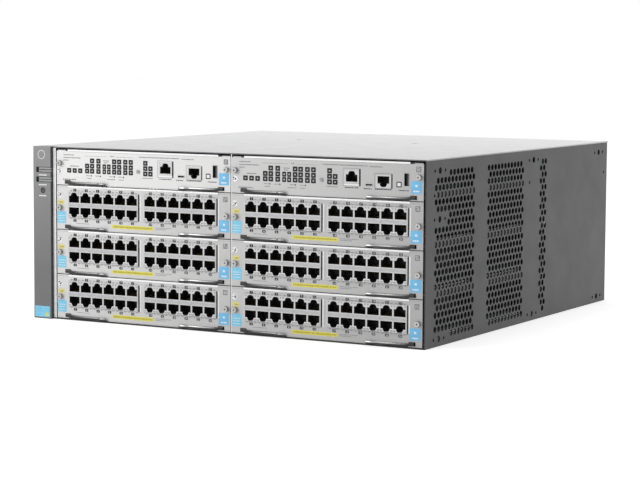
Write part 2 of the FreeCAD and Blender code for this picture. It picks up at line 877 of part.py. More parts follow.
def make_interface_board():
    """Circuit board with two heat sinks, chips and the plug for the backplane."""
    body = new_body("InterfaceBoard")
    floor_block(body, "board_under", "block_low", [
        ("board_side", "module_width - board_side", "face_gauge + 2", "board_back"),
    ])
    floor_block(body, "block_low", "block_low + plug_tall", [
        ("plug_left", "plug_left + plug_width", "module_back - plug_deep", "module_back"),
    ])
    add_heat_sinks(body, "block_low", "sink_base", 6)
    floor_block(body, "block_low", "block_low + 3", [
        ("block_middle - 30", "block_middle - 8", "32", "54"),
        ("block_middle + 14", "block_middle + 36", "32", "54"),
        ("block_middle + block_pitch - 30", "block_middle + block_pitch - 8", "32", "54"),
        ("block_middle + block_pitch + 14", "block_middle + block_pitch + 36", "32", "54"),
    ])
    return body


def socket_corners(middle, start, sign):
    """A network socket's mouth; the latch slot points up for 1 and down for -1."""
    wide = "port_width / 2"
    key = "port_key_width / 2"
    shoulder = f"{start} + {sign} * port_tall"
    tip = f"{start} + {sign} * (port_tall + port_key_tall)"
    return [
        (f"{middle} - {wide}", start),
        (f"{middle} + {wide}", start),
        (f"{middle} + {wide}", shoulder),
        (f"{middle} + {key}", shoulder),
        (f"{middle} + {key}", tip),
        (f"{middle} - {key}", tip),
        (f"{middle} - {key}", shoulder),
        (f"{middle} - {wide}", shoulder),
    ]


def make_interface_jacks():
    """Two shielded blocks of stacked sockets, six wide and two high."""
    blocks = []
    for number in range(2):
        body = new_body(f"JackBlock{number}")
        left, right = block_edges(number)
        front_block(body, "0 - block_proud", "block_deep - block_proud", [
            (left, right, "block_low", "block_low + block_tall"),
        ])
        mouths = new_sketch(body, "XZ_Plane", "block_proud")
        first = f"block_middle + block_pitch * {number} - port_pitch * (ports_in_row - 1) / 2"
        draw_outline(mouths, socket_corners(first, "port_high_z", "1"))
        draw_outline(mouths, socket_corners(first, "port_low_z", "-1"))
        pair = pocket(body, mouths, "port_deep")
        row = body.newObject("PartDesign::LinearPattern", "PortRow")
        row.Originals = [pair]
        row.Direction = (mouths, ["H_Axis"])
        row.setExpression("Length", bound("port_pitch * (ports_in_row - 1)"))
        row.setExpression("Occurrences", bound("ports_in_row"))
        body.Tip = row
        blocks.append(body)
    group = DOC.addObject("Part::Compound", "JackBlocks")
    group.Links = blocks
    return group


def manager_windows():
    """Openings in the management face: two sockets and two data slots."""
    half = "jack_width / 2"
    boxes = []
    for across, up in (("lan_x", "lan_middle_z"), ("serial_x", "serial_middle_z")):
        boxes.append((
            f"{across} - {half}", f"{across} + {half}",
            f"{up} - jack_tall / 2", f"{up} + jack_tall / 2",
        ))
    boxes.append(("usb_x - usb_wide / 2", "usb_x + usb_wide / 2", "usb_low", "usb_low + usb_tall"))
    boxes.append((
        "micro_x - micro_wide / 2", "micro_x + micro_wide / 2",
        "micro_low", "micro_low + micro_tall",
    ))
    return boxes


def make_manager_carrier():
    body = make_carrier(
        "ManagerCarrier", "manager_tall", "manager_board_under", "manager_screw_up",
        manager_windows(), post_places(),
    )
    hole = new_sketch(body, "XZ_Plane", "1")
    draw_circle(hole, "button_x", "button_z", "button_radius + button_play")
    pocket(body, hole, "face_gauge + 2")
    return body


def make_manager_board():
    """Management board with its own sockets, switch, heat sinks and plug."""
    body = new_body("ManagerBoard")
    top = "manager_board_top"
    floor_block(body, "manager_board_under", top, [
        ("board_side", "module_width - board_side", "face_gauge + 2", "board_back"),
    ])
    half = "jack_width / 2"
    jacks = []
    for across, up in (("lan_x", "lan_middle_z"), ("serial_x", "serial_middle_z")):
        jacks.append((f"{across} - {half}", f"{across} + {half}", top, f"{up} + jack_tall / 2"))
    front_block(body, "face_gauge", "jack_deep", jacks)
    noses = [(left, right, low, high) for left, right, low, high in manager_windows()]
    front_block(body, "0", "jack_deep", noses)
    mouths = new_sketch(body, "XZ_Plane", "0")
    edge = "(port_tall + port_key_tall) / 2"
    draw_outline(mouths, socket_corners("lan_x", f"lan_middle_z - {edge}", "1"))
    draw_outline(mouths, socket_corners("serial_x", f"serial_middle_z + {edge}", "-1"))
    pocket(body, mouths, "port_deep")
    slots = new_sketch(body, "XZ_Plane", "0")
    draw_box(slots, "usb_x - usb_wide / 2 + 0.7", "usb_x + usb_wide / 2 - 0.7",
             "usb_low + 0.7", "usb_low + usb_tall - 0.7")
    draw_box(slots, "micro_x - micro_wide / 2 + 0.5", "micro_x + micro_wide / 2 - 0.5",
             "micro_low + 0.5", "micro_low + micro_tall - 0.5")
    pocket(body, slots, "port_deep / 2")
    floor_block(body, top, "usb_low + usb_tall", [
        ("usb_x - usb_wide / 2", "usb_x + usb_wide / 2", "face_gauge + 2", "jack_deep"),
    ])
    switch_front = "button_long + button_travel + run_gap"
    floor_block(body, top, "button_z + switch_side / 2", [
        ("button_x - switch_side / 2", "button_x + switch_side / 2",
         switch_front, f"{switch_front} + switch_deep"),
    ])
    floor_block(body, top, f"{top} + plug_tall", [
        ("plug_left", "plug_left + plug_width", "module_back - plug_deep", "module_back"),
    ])
    add_heat_sinks(body, top, "sink_base / 2", 6)
    return body


def make_mode_button():
    body = new_body("ModeButton")
    front_pins(body, "0 - button_proud", "button_long", [("button_x", "button_z", "button_radius")])
    return body


def make_lever(name, pivot, sign):
    """Sheet ejector lever: a boss round its pin, a flat bar and a finger tab.

    The sign is 1 for the left lever, whose bar runs right, and -1 for its mirror."""
    body = new_body(name)
    back = "0 - run_gap"
    front = "lever_face"

    def across(distance):
        return f"{pivot} + {sign} * ({distance})"

    plan = new_sketch(body, "XY_Plane", "lever_low")
    tab = "lever_tab_start"
    proud = "lever_tab_proud"
    draw_outline(plan, [
        (across("0 - lever_boss_half"), front),
        (across(tab), front),
        (across(f"{tab} + {proud}"), f"{front} - {proud}"),
        (across("lever_long"), f"{front} - {proud}"),
        (across("lever_long"), f"{back} - {proud}"),
        (across(f"{tab} + {proud} + lever_gauge / 2"), f"{back} - {proud}"),
        (across(f"{tab} + lever_gauge / 2"), back),
        (across("lever_boss_half"), back),
        (across("lever_boss_half"), "lever_pivot_back + lever_boss_half"),
        (across("0 - lever_boss_half"), "lever_pivot_back + lever_boss_half"),
    ])
    draw_circle(plan, pivot, "lever_pivot_back", "lever_pin_radius + pin_play")
    pad(body, plan, "lever_tall")
    return body


def make_rotor(name, hub, tip, deep, bore):
    """Fan rotor about the z axis: a hub with seven pitched blades."""
    body = new_body(name)
    disc = new_sketch(body, "XY_Plane", "0")
    draw_circle(disc, "0", "0", hub)
    draw_circle(disc, "0", "0", bore)
    pad(body, disc, deep)
    sections = []
    for radius, lean in ((f"{hub} - 1", "0.45"), (tip, "0.9")):
        sketch = new_sketch(body, "YZ_Plane", radius)
        draw_outline(sketch, [
            (f"0 - {deep} * {lean}", "1"),
            (f"0 - {deep} * {lean} + 2", "1"),
            (f"{deep} * {lean}", f"{deep} - 1"),
            (f"{deep} * {lean} - 2", f"{deep} - 1"),
        ])
        sections.append(sketch)
    blade = body.newObject("PartDesign::AdditiveLoft", f"{name}_blade")
    blade.Profile = sections[0]
    blade.Sections = [sections[1]]
    ring = body.newObject("PartDesign::PolarPattern", f"{name}_blades")
    ring.Originals = [blade]
    ring.Axis = (disc, ["N_Axis"])
    ring.Angle = ROUND
    ring.Occurrences = 7
    body.Tip = ring
    return body


def make_fan_tray():
    """Carrier sheet with three square fan housings, spindles, end plate and handle."""
    body = new_body("FanTray")
    sheet = new_sketch(body, "YZ_Plane", "fan_face_x")
    draw_box(sheet, "fan_tray_front", "rear_plane - wall_gauge", "fan_tray_low", "fan_tray_top")
    for fan in range(int(size("fan_count"))):
        draw_circle(sheet, f"fan_first + fan_pitch * {fan}", "fan_axis_z", "fan_bore")
    pad(body, sheet, "fan_sheet")
    front_block(body, "fan_tray_front", "rear_plane - wall_gauge", [
        ("fan_tray_left", "fan_tray_right", "fan_tray_low", "fan_tray_low + fan_sheet"),
        ("fan_tray_left", "fan_tray_right", "fan_tray_top - fan_sheet", "fan_tray_top"),
    ])
    front_block(body, "rear_plane - wall_gauge", "rear_plane", [
        ("fan_tray_left", "fan_tray_right", "fan_tray_low", "fan_tray_top"),
    ])
    housings = new_sketch(body, "YZ_Plane", "fan_face_x")
    struts = new_sketch(body, "YZ_Plane", "fan_face_x")
    spindles = new_sketch(body, "YZ_Plane", "fan_face_x")
    half = "fan_side / 2"
    for fan in range(int(size("fan_count"))):
        middle = f"fan_first + fan_pitch * {fan}"
        draw_box(housings, f"{middle} - {half}", f"{middle} + {half}",
                 f"fan_axis_z - {half}", f"fan_axis_z + {half}")
        draw_circle(housings, middle, "fan_axis_z", "fan_bore")
        draw_box(struts, f"{middle} - strut_width / 2", f"{middle} + strut_width / 2",
                 "fan_axis_z - fan_bore - 1", "fan_axis_z + fan_bore + 1")
        draw_circle(spindles, middle, "fan_axis_z", "spindle_radius")
    pad(body, housings, "fan_deep", backwards=True)
    pad(body, struts, "strut_gauge", backwards=True)
    pad(body, spindles, "fan_deep - strut_gauge", backwards=True)
    middle = "(fan_tray_left + fan_tray_right) / 2"
    low = "fan_axis_z - fan_handle_tall / 2"
    high = "fan_axis_z + fan_handle_tall / 2"
    handle = new_sketch(body, "YZ_Plane", f"{middle} - fan_handle_bar / 2")
    reach = "rear_plane + handle_reach"
    draw_outline(handle, [
        ("rear_plane", low),
        (reach, low),
        (reach, high),
        ("rear_plane", high),
        ("rear_plane", f"{high} - fan_handle_bar"),
        (f"{reach} - fan_handle_bar / 2", f"{high} - fan_handle_bar"),
        (f"{reach} - fan_handle_bar / 2", f"{low} + fan_handle_bar"),
        ("rear_plane", f"{low} + fan_handle_bar"),
    ])
    pad(body, handle, "fan_handle_bar")
    return place(body, "fan_tray_frame")


def make_supply_case():
    """Power supply: closed case, fan recess with guard, inlet, handle and latch slot."""
    body = new_body("SupplyCase")
    front_block(body, "supply_front", "supply_rear", [
        ("0", "supply_width", "supply_low", "supply_low + supply_tall"),
    ])
    mid = "supply_mid_z"
    recess = new_sketch(body, "XZ_Plane", "0 - supply_rear")
    draw_circle(recess, "supply_fan_x", mid, "supply_fan_radius")
    pocket(body, recess, "supply_fan_recess", backwards=True)
    front_pins(body, "supply_rear - supply_fan_recess", "supply_rear - 4", [
        ("supply_fan_x", mid, "spindle_radius"),
    ])
    reach = "supply_fan_radius + 1"
    front_block(body, "supply_rear - guard_bar", "supply_rear", [
        (f"supply_fan_x - {reach}", f"supply_fan_x + {reach}", f"{mid} - guard_bar / 2", f"{mid} + guard_bar / 2"),
    ])
    front_block(body, "supply_rear - guard_bar", "supply_rear", [
        ("supply_fan_x - guard_bar / 2", "supply_fan_x + guard_bar / 2", f"{mid} - {reach}", f"{mid} + {reach}"),
    ])
    ring = new_sketch(body, "XZ_Plane", "0 - supply_rear")
    draw_circle(ring, "supply_fan_x", mid, "guard_ring + guard_bar / 2")
    draw_circle(ring, "supply_fan_x", mid, "guard_ring - guard_bar / 2")
    pad(body, ring, "guard_bar")
    inlet = new_sketch(body, "XZ_Plane", "0 - supply_rear")
    draw_box(inlet, "inlet_x - inlet_width / 2", "inlet_x + inlet_width / 2",
             f"{mid} - inlet_tall / 2", f"{mid} + inlet_tall / 2")
    draw_box(inlet, "latch_x - latch_wide / 2 - latch_travel - run_gap", "latch_x + latch_wide / 2 + run_gap",
             f"{mid} - latch_tall / 2 - run_gap", f"{mid} + latch_tall / 2 + run_gap")
    pocket(body, inlet, "inlet_deep", backwards=True)
    floor = "supply_rear - inlet_deep"
    blades = []
    for across, up in (("inlet_pin_offset", "0"), ("0 - inlet_pin_offset", "0"), ("0", "inlet_earth_up")):
        middle = f"inlet_x + {across}"
        height = f"{mid} + {up}"
        blades.append((f"{middle} - inlet_pin_tall / 2", f"{middle} + inlet_pin_tall / 2",
                       f"{height} - inlet_pin_wide / 2", f"{height} + inlet_pin_wide / 2"))
    front_block(body, floor, f"{floor} + inlet_pin_long", blades)
    low = f"{mid} - supply_handle_tall / 2"
    high = f"{mid} + supply_handle_tall / 2"
    far = "supply_rear + handle_reach"
    handle = new_sketch(body, "YZ_Plane", "supply_handle_x")
    draw_outline(handle, [
        ("supply_rear", low),
        (far, low),
        (far, high),
        ("supply_rear", high),
        ("supply_rear", f"{high} - handle_bar"),
        (f"{far} - handle_bar", f"{high} - handle_bar"),
        (f"{far} - handle_bar", f"{low} + handle_bar"),
        ("supply_rear", f"{low} + handle_bar"),
    ])
    pad(body, handle, "handle_bar")
    return body


def make_supply_latch():
    """Thumb slide that frees the supply, in its slot beside the handle."""
    body = new_body("SupplyLatch")
    mid = "supply_mid_z"
    front_block(body, "supply_rear - latch_sink", "supply_rear + latch_proud", [
        ("latch_x - latch_wide / 2", "latch_x + latch_wide / 2",
         f"{mid} - latch_tall / 2", f"{mid} + latch_tall / 2"),
    ])
    return body


def write_steps():
    """Check every object and write one file for each named piece."""
    DOC.recompute()
    for item in DOC.Objects:
        if "Invalid" in item.State or "Error" in item.State:
            raise RuntimeError(f"{item.Label} did not build: {item.State}")
    sound = {}
    for item in NODES:
        # Copies share their master's shape, so it is tested once for all of them.
        source = MASTERS.get(item.Label, item)
        if source.Name not in sound:
            sound[source.Name] = not source.Shape.isNull() and source.Shape.isValid()
        if item.Shape.isNull() or not sound[source.Name]:
            raise RuntimeError(f"{item.Label} has no valid shape")
    os.makedirs("parts", exist_ok=True)
    for item in NODES:
        item.Shape.exportStep(f"parts/{item.Label}.step")


def main():
    fill_sheet()
    make_chassis_tray()
    make_top_cover()
    make_rear_panel()
    make_rear_screws()
    make_fan_bay_wall()
    make_centre_divider()
    make_right_guides()
    make_backplane()
    make_front_bezel()
    make_light_pipes()
    make_fan_tray()

    rotor = make_rotor(
        "FanRotor", "hub_radius", "fan_bore - blade_gap", "rotor_deep", "spindle_radius + spindle_play"
    )
    for fan in range(int(size("fan_count"))):
        piece = copy_of(
            rotor, f"fan_rotor_{fan + 1}",
            "fan_face_x - strut_gauge - run_gap", f"fan_first + fan_pitch * {fan}", "fan_axis_z",
        )
        piece.Placement.Rotation = FreeCAD.Rotation(Y_AXIS, -90)

    case = make_supply_case()
    latch = make_supply_latch()
    spinner = make_rotor(
        "SupplyRotor", "supply_hub_radius", "supply_fan_radius - blade_gap", "supply_rotor_deep",
        "spindle_radius + spindle_play",
    )
    for supply in range(2):
        left = f"supply_first_x + supply_pitch * {supply}"
        copy_of(case, f"psu_{supply + 1}_case", left)
        copy_of(latch, f"psu_{supply + 1}_latch", left)
        fan = copy_of(
            spinner, f"psu_{supply + 1}_fan",
            f"{left} + supply_fan_x", "supply_rear - supply_fan_recess + 3", "supply_mid_z",
        )
        fan.Placement.Rotation = FreeCAD.Rotation(X_AXIS, -90)

    left_lever = make_lever("LeftLever", "lever_pivot_left", "1")
    right_lever = make_lever("RightLever", "module_width - lever_pivot_right", "-1")
    carrier = make_interface_carrier()
    board = make_interface_board()
    jacks = make_interface_jacks()
    slots = [(column, row) for row in (2, 1, 0) for column in (0, 1)]
    for letter, (column, row) in zip("abcdef", slots):
        spot = (f"column_start + column_pitch * {column}", "0", slot_row(row))
        copy_of(carrier, f"module_{letter}_carrier", *spot)
        copy_of(board, f"module_{letter}_board", *spot)
        copy_of(jacks, f"module_{letter}_jacks", *spot)
        copy_of(left_lever, f"module_{letter}_lever_left", *spot)
        copy_of(right_lever, f"module_{letter}_lever_right", *spot)

    carrier = make_manager_carrier()
    board = make_manager_board()
    button = make_mode_button()
    for column in range(2):
        spot = (f"column_start + column_pitch * {column}", "0", slot_row(3))
        name = f"manager_{column + 1}"
        copy_of(carrier, f"{name}_carrier", *spot)
        copy_of(board, f"{name}_board", *spot)
        copy_of(button, f"{name}_button", *spot)
        copy_of(left_lever, f"{name}_lever_left", *spot)
        copy_of(right_lever, f"{name}_lever_right", *spot)

    write_steps()


main()
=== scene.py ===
"""Looks of the modular chassis switch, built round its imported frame.

Drawing lengths are millimetres from the chassis corner: x runs right from the
left side, y runs back from the plane of the module faces and z runs up from
the underside. spot() turns them into the model's own metres.
"""
import math
import random

import bmesh
import bpy
from mathutils import Matrix, Vector
from mathutils.geometry import delaunay_2d_cdt


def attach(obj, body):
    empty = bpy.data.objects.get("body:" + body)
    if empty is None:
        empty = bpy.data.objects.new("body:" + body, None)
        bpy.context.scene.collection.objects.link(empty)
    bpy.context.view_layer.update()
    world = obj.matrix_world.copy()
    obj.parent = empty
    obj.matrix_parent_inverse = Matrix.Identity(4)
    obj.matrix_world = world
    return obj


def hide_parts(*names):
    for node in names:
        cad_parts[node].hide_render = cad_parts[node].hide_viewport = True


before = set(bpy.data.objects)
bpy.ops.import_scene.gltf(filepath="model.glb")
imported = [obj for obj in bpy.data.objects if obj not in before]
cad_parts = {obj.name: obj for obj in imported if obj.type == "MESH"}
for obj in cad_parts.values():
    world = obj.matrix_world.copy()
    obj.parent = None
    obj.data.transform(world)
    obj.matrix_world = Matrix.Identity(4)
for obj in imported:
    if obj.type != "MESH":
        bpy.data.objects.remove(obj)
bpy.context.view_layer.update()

MM = 0.001
WIDTH = 444.5
HEIGHT = 175.3
BACK = 446.9
MIDDLE_Y = 221.45
GAUGE = 1.2
WALL_TOP = HEIGHT - GAUGE
COLUMN_START = 27.4
COLUMN_PITCH = 207.9
ROW_START = 1.6
ROW_PITCH = 45.2
MODULE_WIDE = 206.4
MODULE_TALL = 44.4
MANAGER_TALL = 35.7
MANAGER_ROW = 3
UPWARD = (0, 0, 1)
PRINT_SUNK = 0.02


def spot(x, y, z):
    return Vector(((x - WIDTH / 2) * MM, (y - MIDDLE_Y) * MM, z * MM))


def add_object(name, data):
    item = bpy.data.objects.new(name, data)
    bpy.context.scene.collection.objects.link(item)
    return item


# Materials

def set_inputs(target, values):
    """Set or link a node's inputs, by number or name. An underscore stands for a space."""
    for entry, value in values.items():
        socket = target.inputs[entry.replace("_", " ") if isinstance(entry, str) else entry]
        if isinstance(value, bpy.types.NodeSocket):
            target.id_data.links.new(value, socket)
        else:
            socket.default_value = value
    return target


def node(tree, kind, **values):
    return set_inputs(tree.nodes.new("ShaderNode" + kind), values)


def math_node(tree, operation, first, second):
    made = node(tree, "Math")
    made.operation = operation
    return set_inputs(made, {0: first, 1: second}).outputs["Value"]


def new_material(name):
    """A material, its node tree, its main shader and the piece's own metres."""
    material = bpy.data.materials.new(name)
    material.use_nodes = True
    tree = material.node_tree
    shader = next(n for n in tree.nodes if n.type == "BSDF_PRINCIPLED")
    return material, tree, shader, node(tree, "TexCoord").outputs["Object"]


def noise(tree, place, scale, detail, stretch=None):
    """A noise over a piece, perhaps drawn out along an axis."""
    if stretch:
        place = node(tree, "Mapping", Scale=stretch, Vector=place).outputs["Vector"]
    return node(tree, "TexNoise", Scale=scale, Detail=detail, Vector=place).outputs["Fac"]


def spread(tree, source, low, high, start=0.3, end=0.7):
    """Spread a run of values, by default the middle of a noise, over a range."""
    return node(tree, "MapRange", From_Min=start, From_Max=end, To_Min=low, To_Max=high,
                Value=source).outputs["Result"]


def mixed(tree, kind, factor, first, second):
    mix = node(tree, "Mix")
    mix.data_type = "RGBA"
    mix.blend_type = kind
    return set_inputs(mix, {"Factor": factor, "A": first, "B": second}).outputs["Result"]


def shade(colour, factor):
    return (*(min(1.0, part * factor) for part in colour), 1)


def surface(name, colour, rough, metal=0.0, mottle=0.08, mottle_scale=40.0, stretch=None,
            rough_swing=0.06, grain_scale=2500.0, grain=0.02, cells=False, ramp=None, **sockets):
    """A finish whose colour, roughness and grain all vary over the piece.

    A ramp lightens or darkens the colour steadily, as painted light and shade: an axis, the
    millimetres where it starts and ends, and its last factor."""
    material, tree, shader, place = new_material(name)
    if cells:
        patch = node(tree, "TexVoronoi", Scale=mottle_scale, Vector=place).outputs["Color"]
    else:
        patch = noise(tree, place, mottle_scale, 4.0, stretch)
    mix = mixed(tree, "MIX", spread(tree, patch, 0.0, 1.0), shade(colour, 1 - mottle),
                shade(colour, 1 + mottle))
    if ramp:
        axis, start, end, last = ramp
        along = node(tree, "SeparateXYZ", Vector=place).outputs[axis]
        mix = mixed(tree, "MULTIPLY", 1.0, mix, spread(tree, along, 1.0, last, start * MM, end * MM))
    fine = noise(tree, place, grain_scale, 2.0, stretch)
    bump = node(tree, "Bump", Strength=grain, Distance=0.0002, Height=fine).outputs["Normal"]
    gloss = spread(tree, patch, rough - rough_swing, rough + rough_swing)
    set_inputs(shader, {"Base Color": mix, "Metallic": metal, "Roughness": gloss, "Normal": bump,
                        **sockets})
    return material


def face_finish(name, level, last):
    """Brushed face sheet, with painted shade that darkens it towards its right end."""
    return surface(name, (level, level * 0.993, level * 0.986), 0.45, 0.3, 0.05, 900, grain=0.3,
                   grain_scale=3200, ramp=("X", 20, 206, last))


# The side paint turns steadily lighter towards the back: painted light.
PAINT = surface("side_paint", (0.082, 0.082, 0.084), 0.46, 0.0, 0.05, grain=0.25, grain_scale=1600,
                ramp=("Y", 60, 440, 1.2), Specular_IOR_Level=0.3)
# The cover is painted paler than the side paint and turns lighter towards the back: painted sheen.
COVER = surface("cover_paint", (0.36, 0.36, 0.365), 0.34, 0.0, 0.03, grain=0.2, grain_scale=1600,
                ramp=("Y", 0, 440, 1.6), Coat_Weight=0.5, Coat_Roughness=0.2)
# The bezel turns lighter towards its top: painted light.
BEZEL = surface("bezel_moulding", (0.148, 0.148, 0.15), 0.5, 0.0, 0.04, grain=0.5, grain_scale=2600,
                ramp=("Z", 50, 170, 1.72))
BEZEL_DARK = surface("bezel_shadow", (0.05, 0.05, 0.052), 0.55, grain=0.3)
ZINC = surface("zinc_sheet", (0.60, 0.61, 0.62), 0.38, 0.8, 0.035, 260, cells=True)
SUPPLY = surface("supply_sheet", (0.56, 0.57, 0.58), 0.36, 0.75, 0.035, 260, cells=True)
# Dark guide sheet, also the cover's front edge in painted shade.
GUIDE_AND_SHADE = surface("guide_sheet_and_shade", (0.12, 0.12, 0.123), 0.5, 0.5, 0.1)
STRIP = surface("bright_strip", (0.72, 0.72, 0.72), 0.32, 0.6, 0.04, stretch=(1, 1, 0.1))
# Left and right columns of faces: the darker right copies are painted shade.
INTERFACE_FACES = (face_finish("interface_sheet_left", 0.63, 0.8),
                   face_finish("interface_sheet_right", 0.52, 0.8))
MANAGER_FACES = (face_finish("manager_sheet_left", 0.71, 0.92),
                 face_finish("manager_sheet_right", 0.55, 0.8))
# Near white: painted highlight on rolled edges and bright strips.
LIP_HIGHLIGHT = surface("rolled_lip_highlight", (0.93, 0.93, 0.93), 0.35, 0.1, 0.04, 300)
EDGE = surface("cut_edge", (0.55, 0.55, 0.56), 0.4, 0.8, grain=0.2)
# Grey lines for seams between sockets, and painted shade along the face's bends.
SEAM_AND_SHADE = surface("sheet_seam_and_shade", (0.30, 0.30, 0.305), 0.5, 0.3, 0.1)
# Near black: painted shade in holes, slots, notches, grooves and gaps.
RECESS_SHADE = surface("painted_recess_shade", (0.02, 0.02, 0.021), 0.6, grain=0.2)
SHELL = surface("socket_shell", (0.52, 0.52, 0.525), 0.36, 0.6, 0.06, 300)
BAND = surface("socket_band", (0.42, 0.42, 0.425), 0.4, 0.5, 0.08, 300)
CAVITY = surface("socket_insert", (0.012, 0.012, 0.013), 0.45, 0.0, 0.2, grain=0.1)
GOLD = surface("contact_gold", (0.85, 0.6, 0.22), 0.25, 1.0, 0.08)
BOARD = surface("circuit_board", (0.01, 0.055, 0.024), 0.35, 0.0, 0.35, 160, cells=True)
CHIP = surface("chip_package", (0.025, 0.025, 0.027), 0.55, grain=0.4)
SINK = surface("heat_sink", (0.05, 0.05, 0.053), 0.4, 0.6, 0.06, stretch=(1, 0.05, 1))
# The two levers are one steel: the darker left copy and the lighter right one, each darkening towards its
# boss, are painted reflection and shade.
LEVER_LEFT = surface("lever_plate_left", (0.24, 0.24, 0.245), 0.26, 1.0, 0.15, 60, (1, 1, 6), 0.04,
                     ramp=("X", 56, 15, 0.08))
LEVER_RIGHT = surface("lever_plate_right", (0.48, 0.48, 0.485), 0.24, 1.0, 0.15, 60, (1, 1, 6), 0.04,
                      ramp=("X", 160, 192, 0.06))
# Near black: painted shade on the lever's underside and boss end.
LEVER_SHADE = surface("lever_underside_shade", (0.025, 0.025, 0.026), 0.35, 0.3, 0.3, 90, stretch=(1, 1, 5))
SCREW = surface("screw_plate", (0.46, 0.455, 0.45), 0.3, 1.0, 0.1)
CLEAR = surface("light_pipe", (0.36, 0.37, 0.37), 0.22, 0.0, 0.06, Transmission_Weight=0.15)
LENS = surface("locator_lens", (0.03, 0.03, 0.034), 0.12, 0.0, 0.2, Coat_Weight=0.6)
WINDOW = surface("lamp_window", (0.42, 0.425, 0.42), 0.25, 0.0, 0.06, Coat_Weight=0.3)
LAMP = surface("socket_lamp", (0.36, 0.355, 0.33), 0.25, 0.0, 0.2, Coat_Weight=0.3)
FAN = surface("fan_moulding", (0.02, 0.02, 0.022), 0.38, 0.0, 0.15, grain=0.2)
LATCH = surface("latch_moulding", (0.28, 0.045, 0.03), 0.4, 0.0, 0.08, grain=0.3)
BUTTON = surface("button_moulding", (0.33, 0.33, 0.335), 0.4, grain=0.2)
# Dark print, also painted shadow lines under and beside sockets.
INK_AND_SHADE = surface("print_dark_and_shade", (0.018, 0.018, 0.02), 0.6, 0.0, 0.15, 1500, Specular_IOR_Level=0.25)
INK_SOFT = surface("print_grey", (0.20, 0.20, 0.21), 0.5, 0.0, 0.15, 1500)
INK_PALE = surface("print_white", (0.78, 0.78, 0.78), 0.5, 0.0, 0.05, 1500)
BLUE = surface("label_blue", (0.17, 0.51, 0.81), 0.35, 0.0, 0.1, 120)
BLUE_PALE = surface("label_blue_pale", (0.22, 0.60, 0.82), 0.35, 0.0, 0.1, 150)
YELLOW = surface("label_yellow", (0.75, 0.69, 0.09), 0.4, 0.0, 0.08, 200)
YELLOW_PALE = surface("tag_yellow", (0.70, 0.64, 0.25), 0.4, 0.0, 0.12, 400)
OLIVE = surface("label_yellow_print", (0.42, 0.36, 0.06), 0.45, 0.0, 0.1, 800)
PAPER = surface("label_white", (0.86, 0.86, 0.87), 0.5, 0.0, 0.03)


# Mesh building

# How a drawing's two axes and its depth become x, y and z
PLANES = {
    "front": lambda u, v, w: (u, w, v),
    "top": lambda u, v, w: (u, v, w),
    "side": lambda u, v, w: (w, u, v),
}
BOX_FACES = ((0, 2, 3, 1), (4, 5, 7, 6), (0, 1, 5, 4), (2, 6, 7, 3), (0, 4, 6, 2), (1, 3, 7, 5))


def inside(ring, u, v):
    found = False
    for (u1, v1), (u2, v2) in zip(ring, ring[1:] + ring[:1]):
        if (v1 > v) != (v2 > v) and u < (u2 - u1) * (v - v1) / (v2 - v1) + u1:
            found = not found
    return found


def ring_points(u, v, radius, count):
    angles = [2 * math.pi * step / count for step in range(count)]
    return [(u + radius * math.cos(a), v + radius * math.sin(a)) for a in angles]


def arc_points(u, v, radius, start, steps=6):
    """A quarter turn about a middle, from a start in degrees."""
    angles = [math.radians(start + 90 * step / steps) for step in range(steps + 1)]
    return [(u + radius * math.cos(a), v + radius * math.sin(a)) for a in angles]


def box_ring(left, right, low, high):
    return [(left, low), (right, low), (right, high), (left, high)]


def round_ring(left, right, low, high, radius, steps=4):
    """A rectangle with round corners, as a ring of points."""
    corners = (
        (right - radius, low + radius, -90), (right - radius, high - radius, 0),
        (left + radius, high - radius, 90), (left + radius, low + radius, 180),
    )
    return [point for u, v, start in corners for point in arc_points(u, v, radius, start, steps)]


def pad_ring(x, z, half_wide, half_tall, radius):
    """A small rectangle about a middle, with round corners."""
    return round_ring(x - half_wide, x + half_wide, z - half_tall, z + half_tall, radius, 2)


def shrunk(window, by):
    left, right, low, high = window
    return left + by, right - by, low + by, high - by


def tube_walls(levels, count):
    """Faces between rings of corners that follow one another."""
    pairs = [(level * count + step, level * count + (step + 1) % count)
             for level in range(levels - 1) for step in range(count)]
    return [(a, b, b + count, a + count) for a, b in pairs]


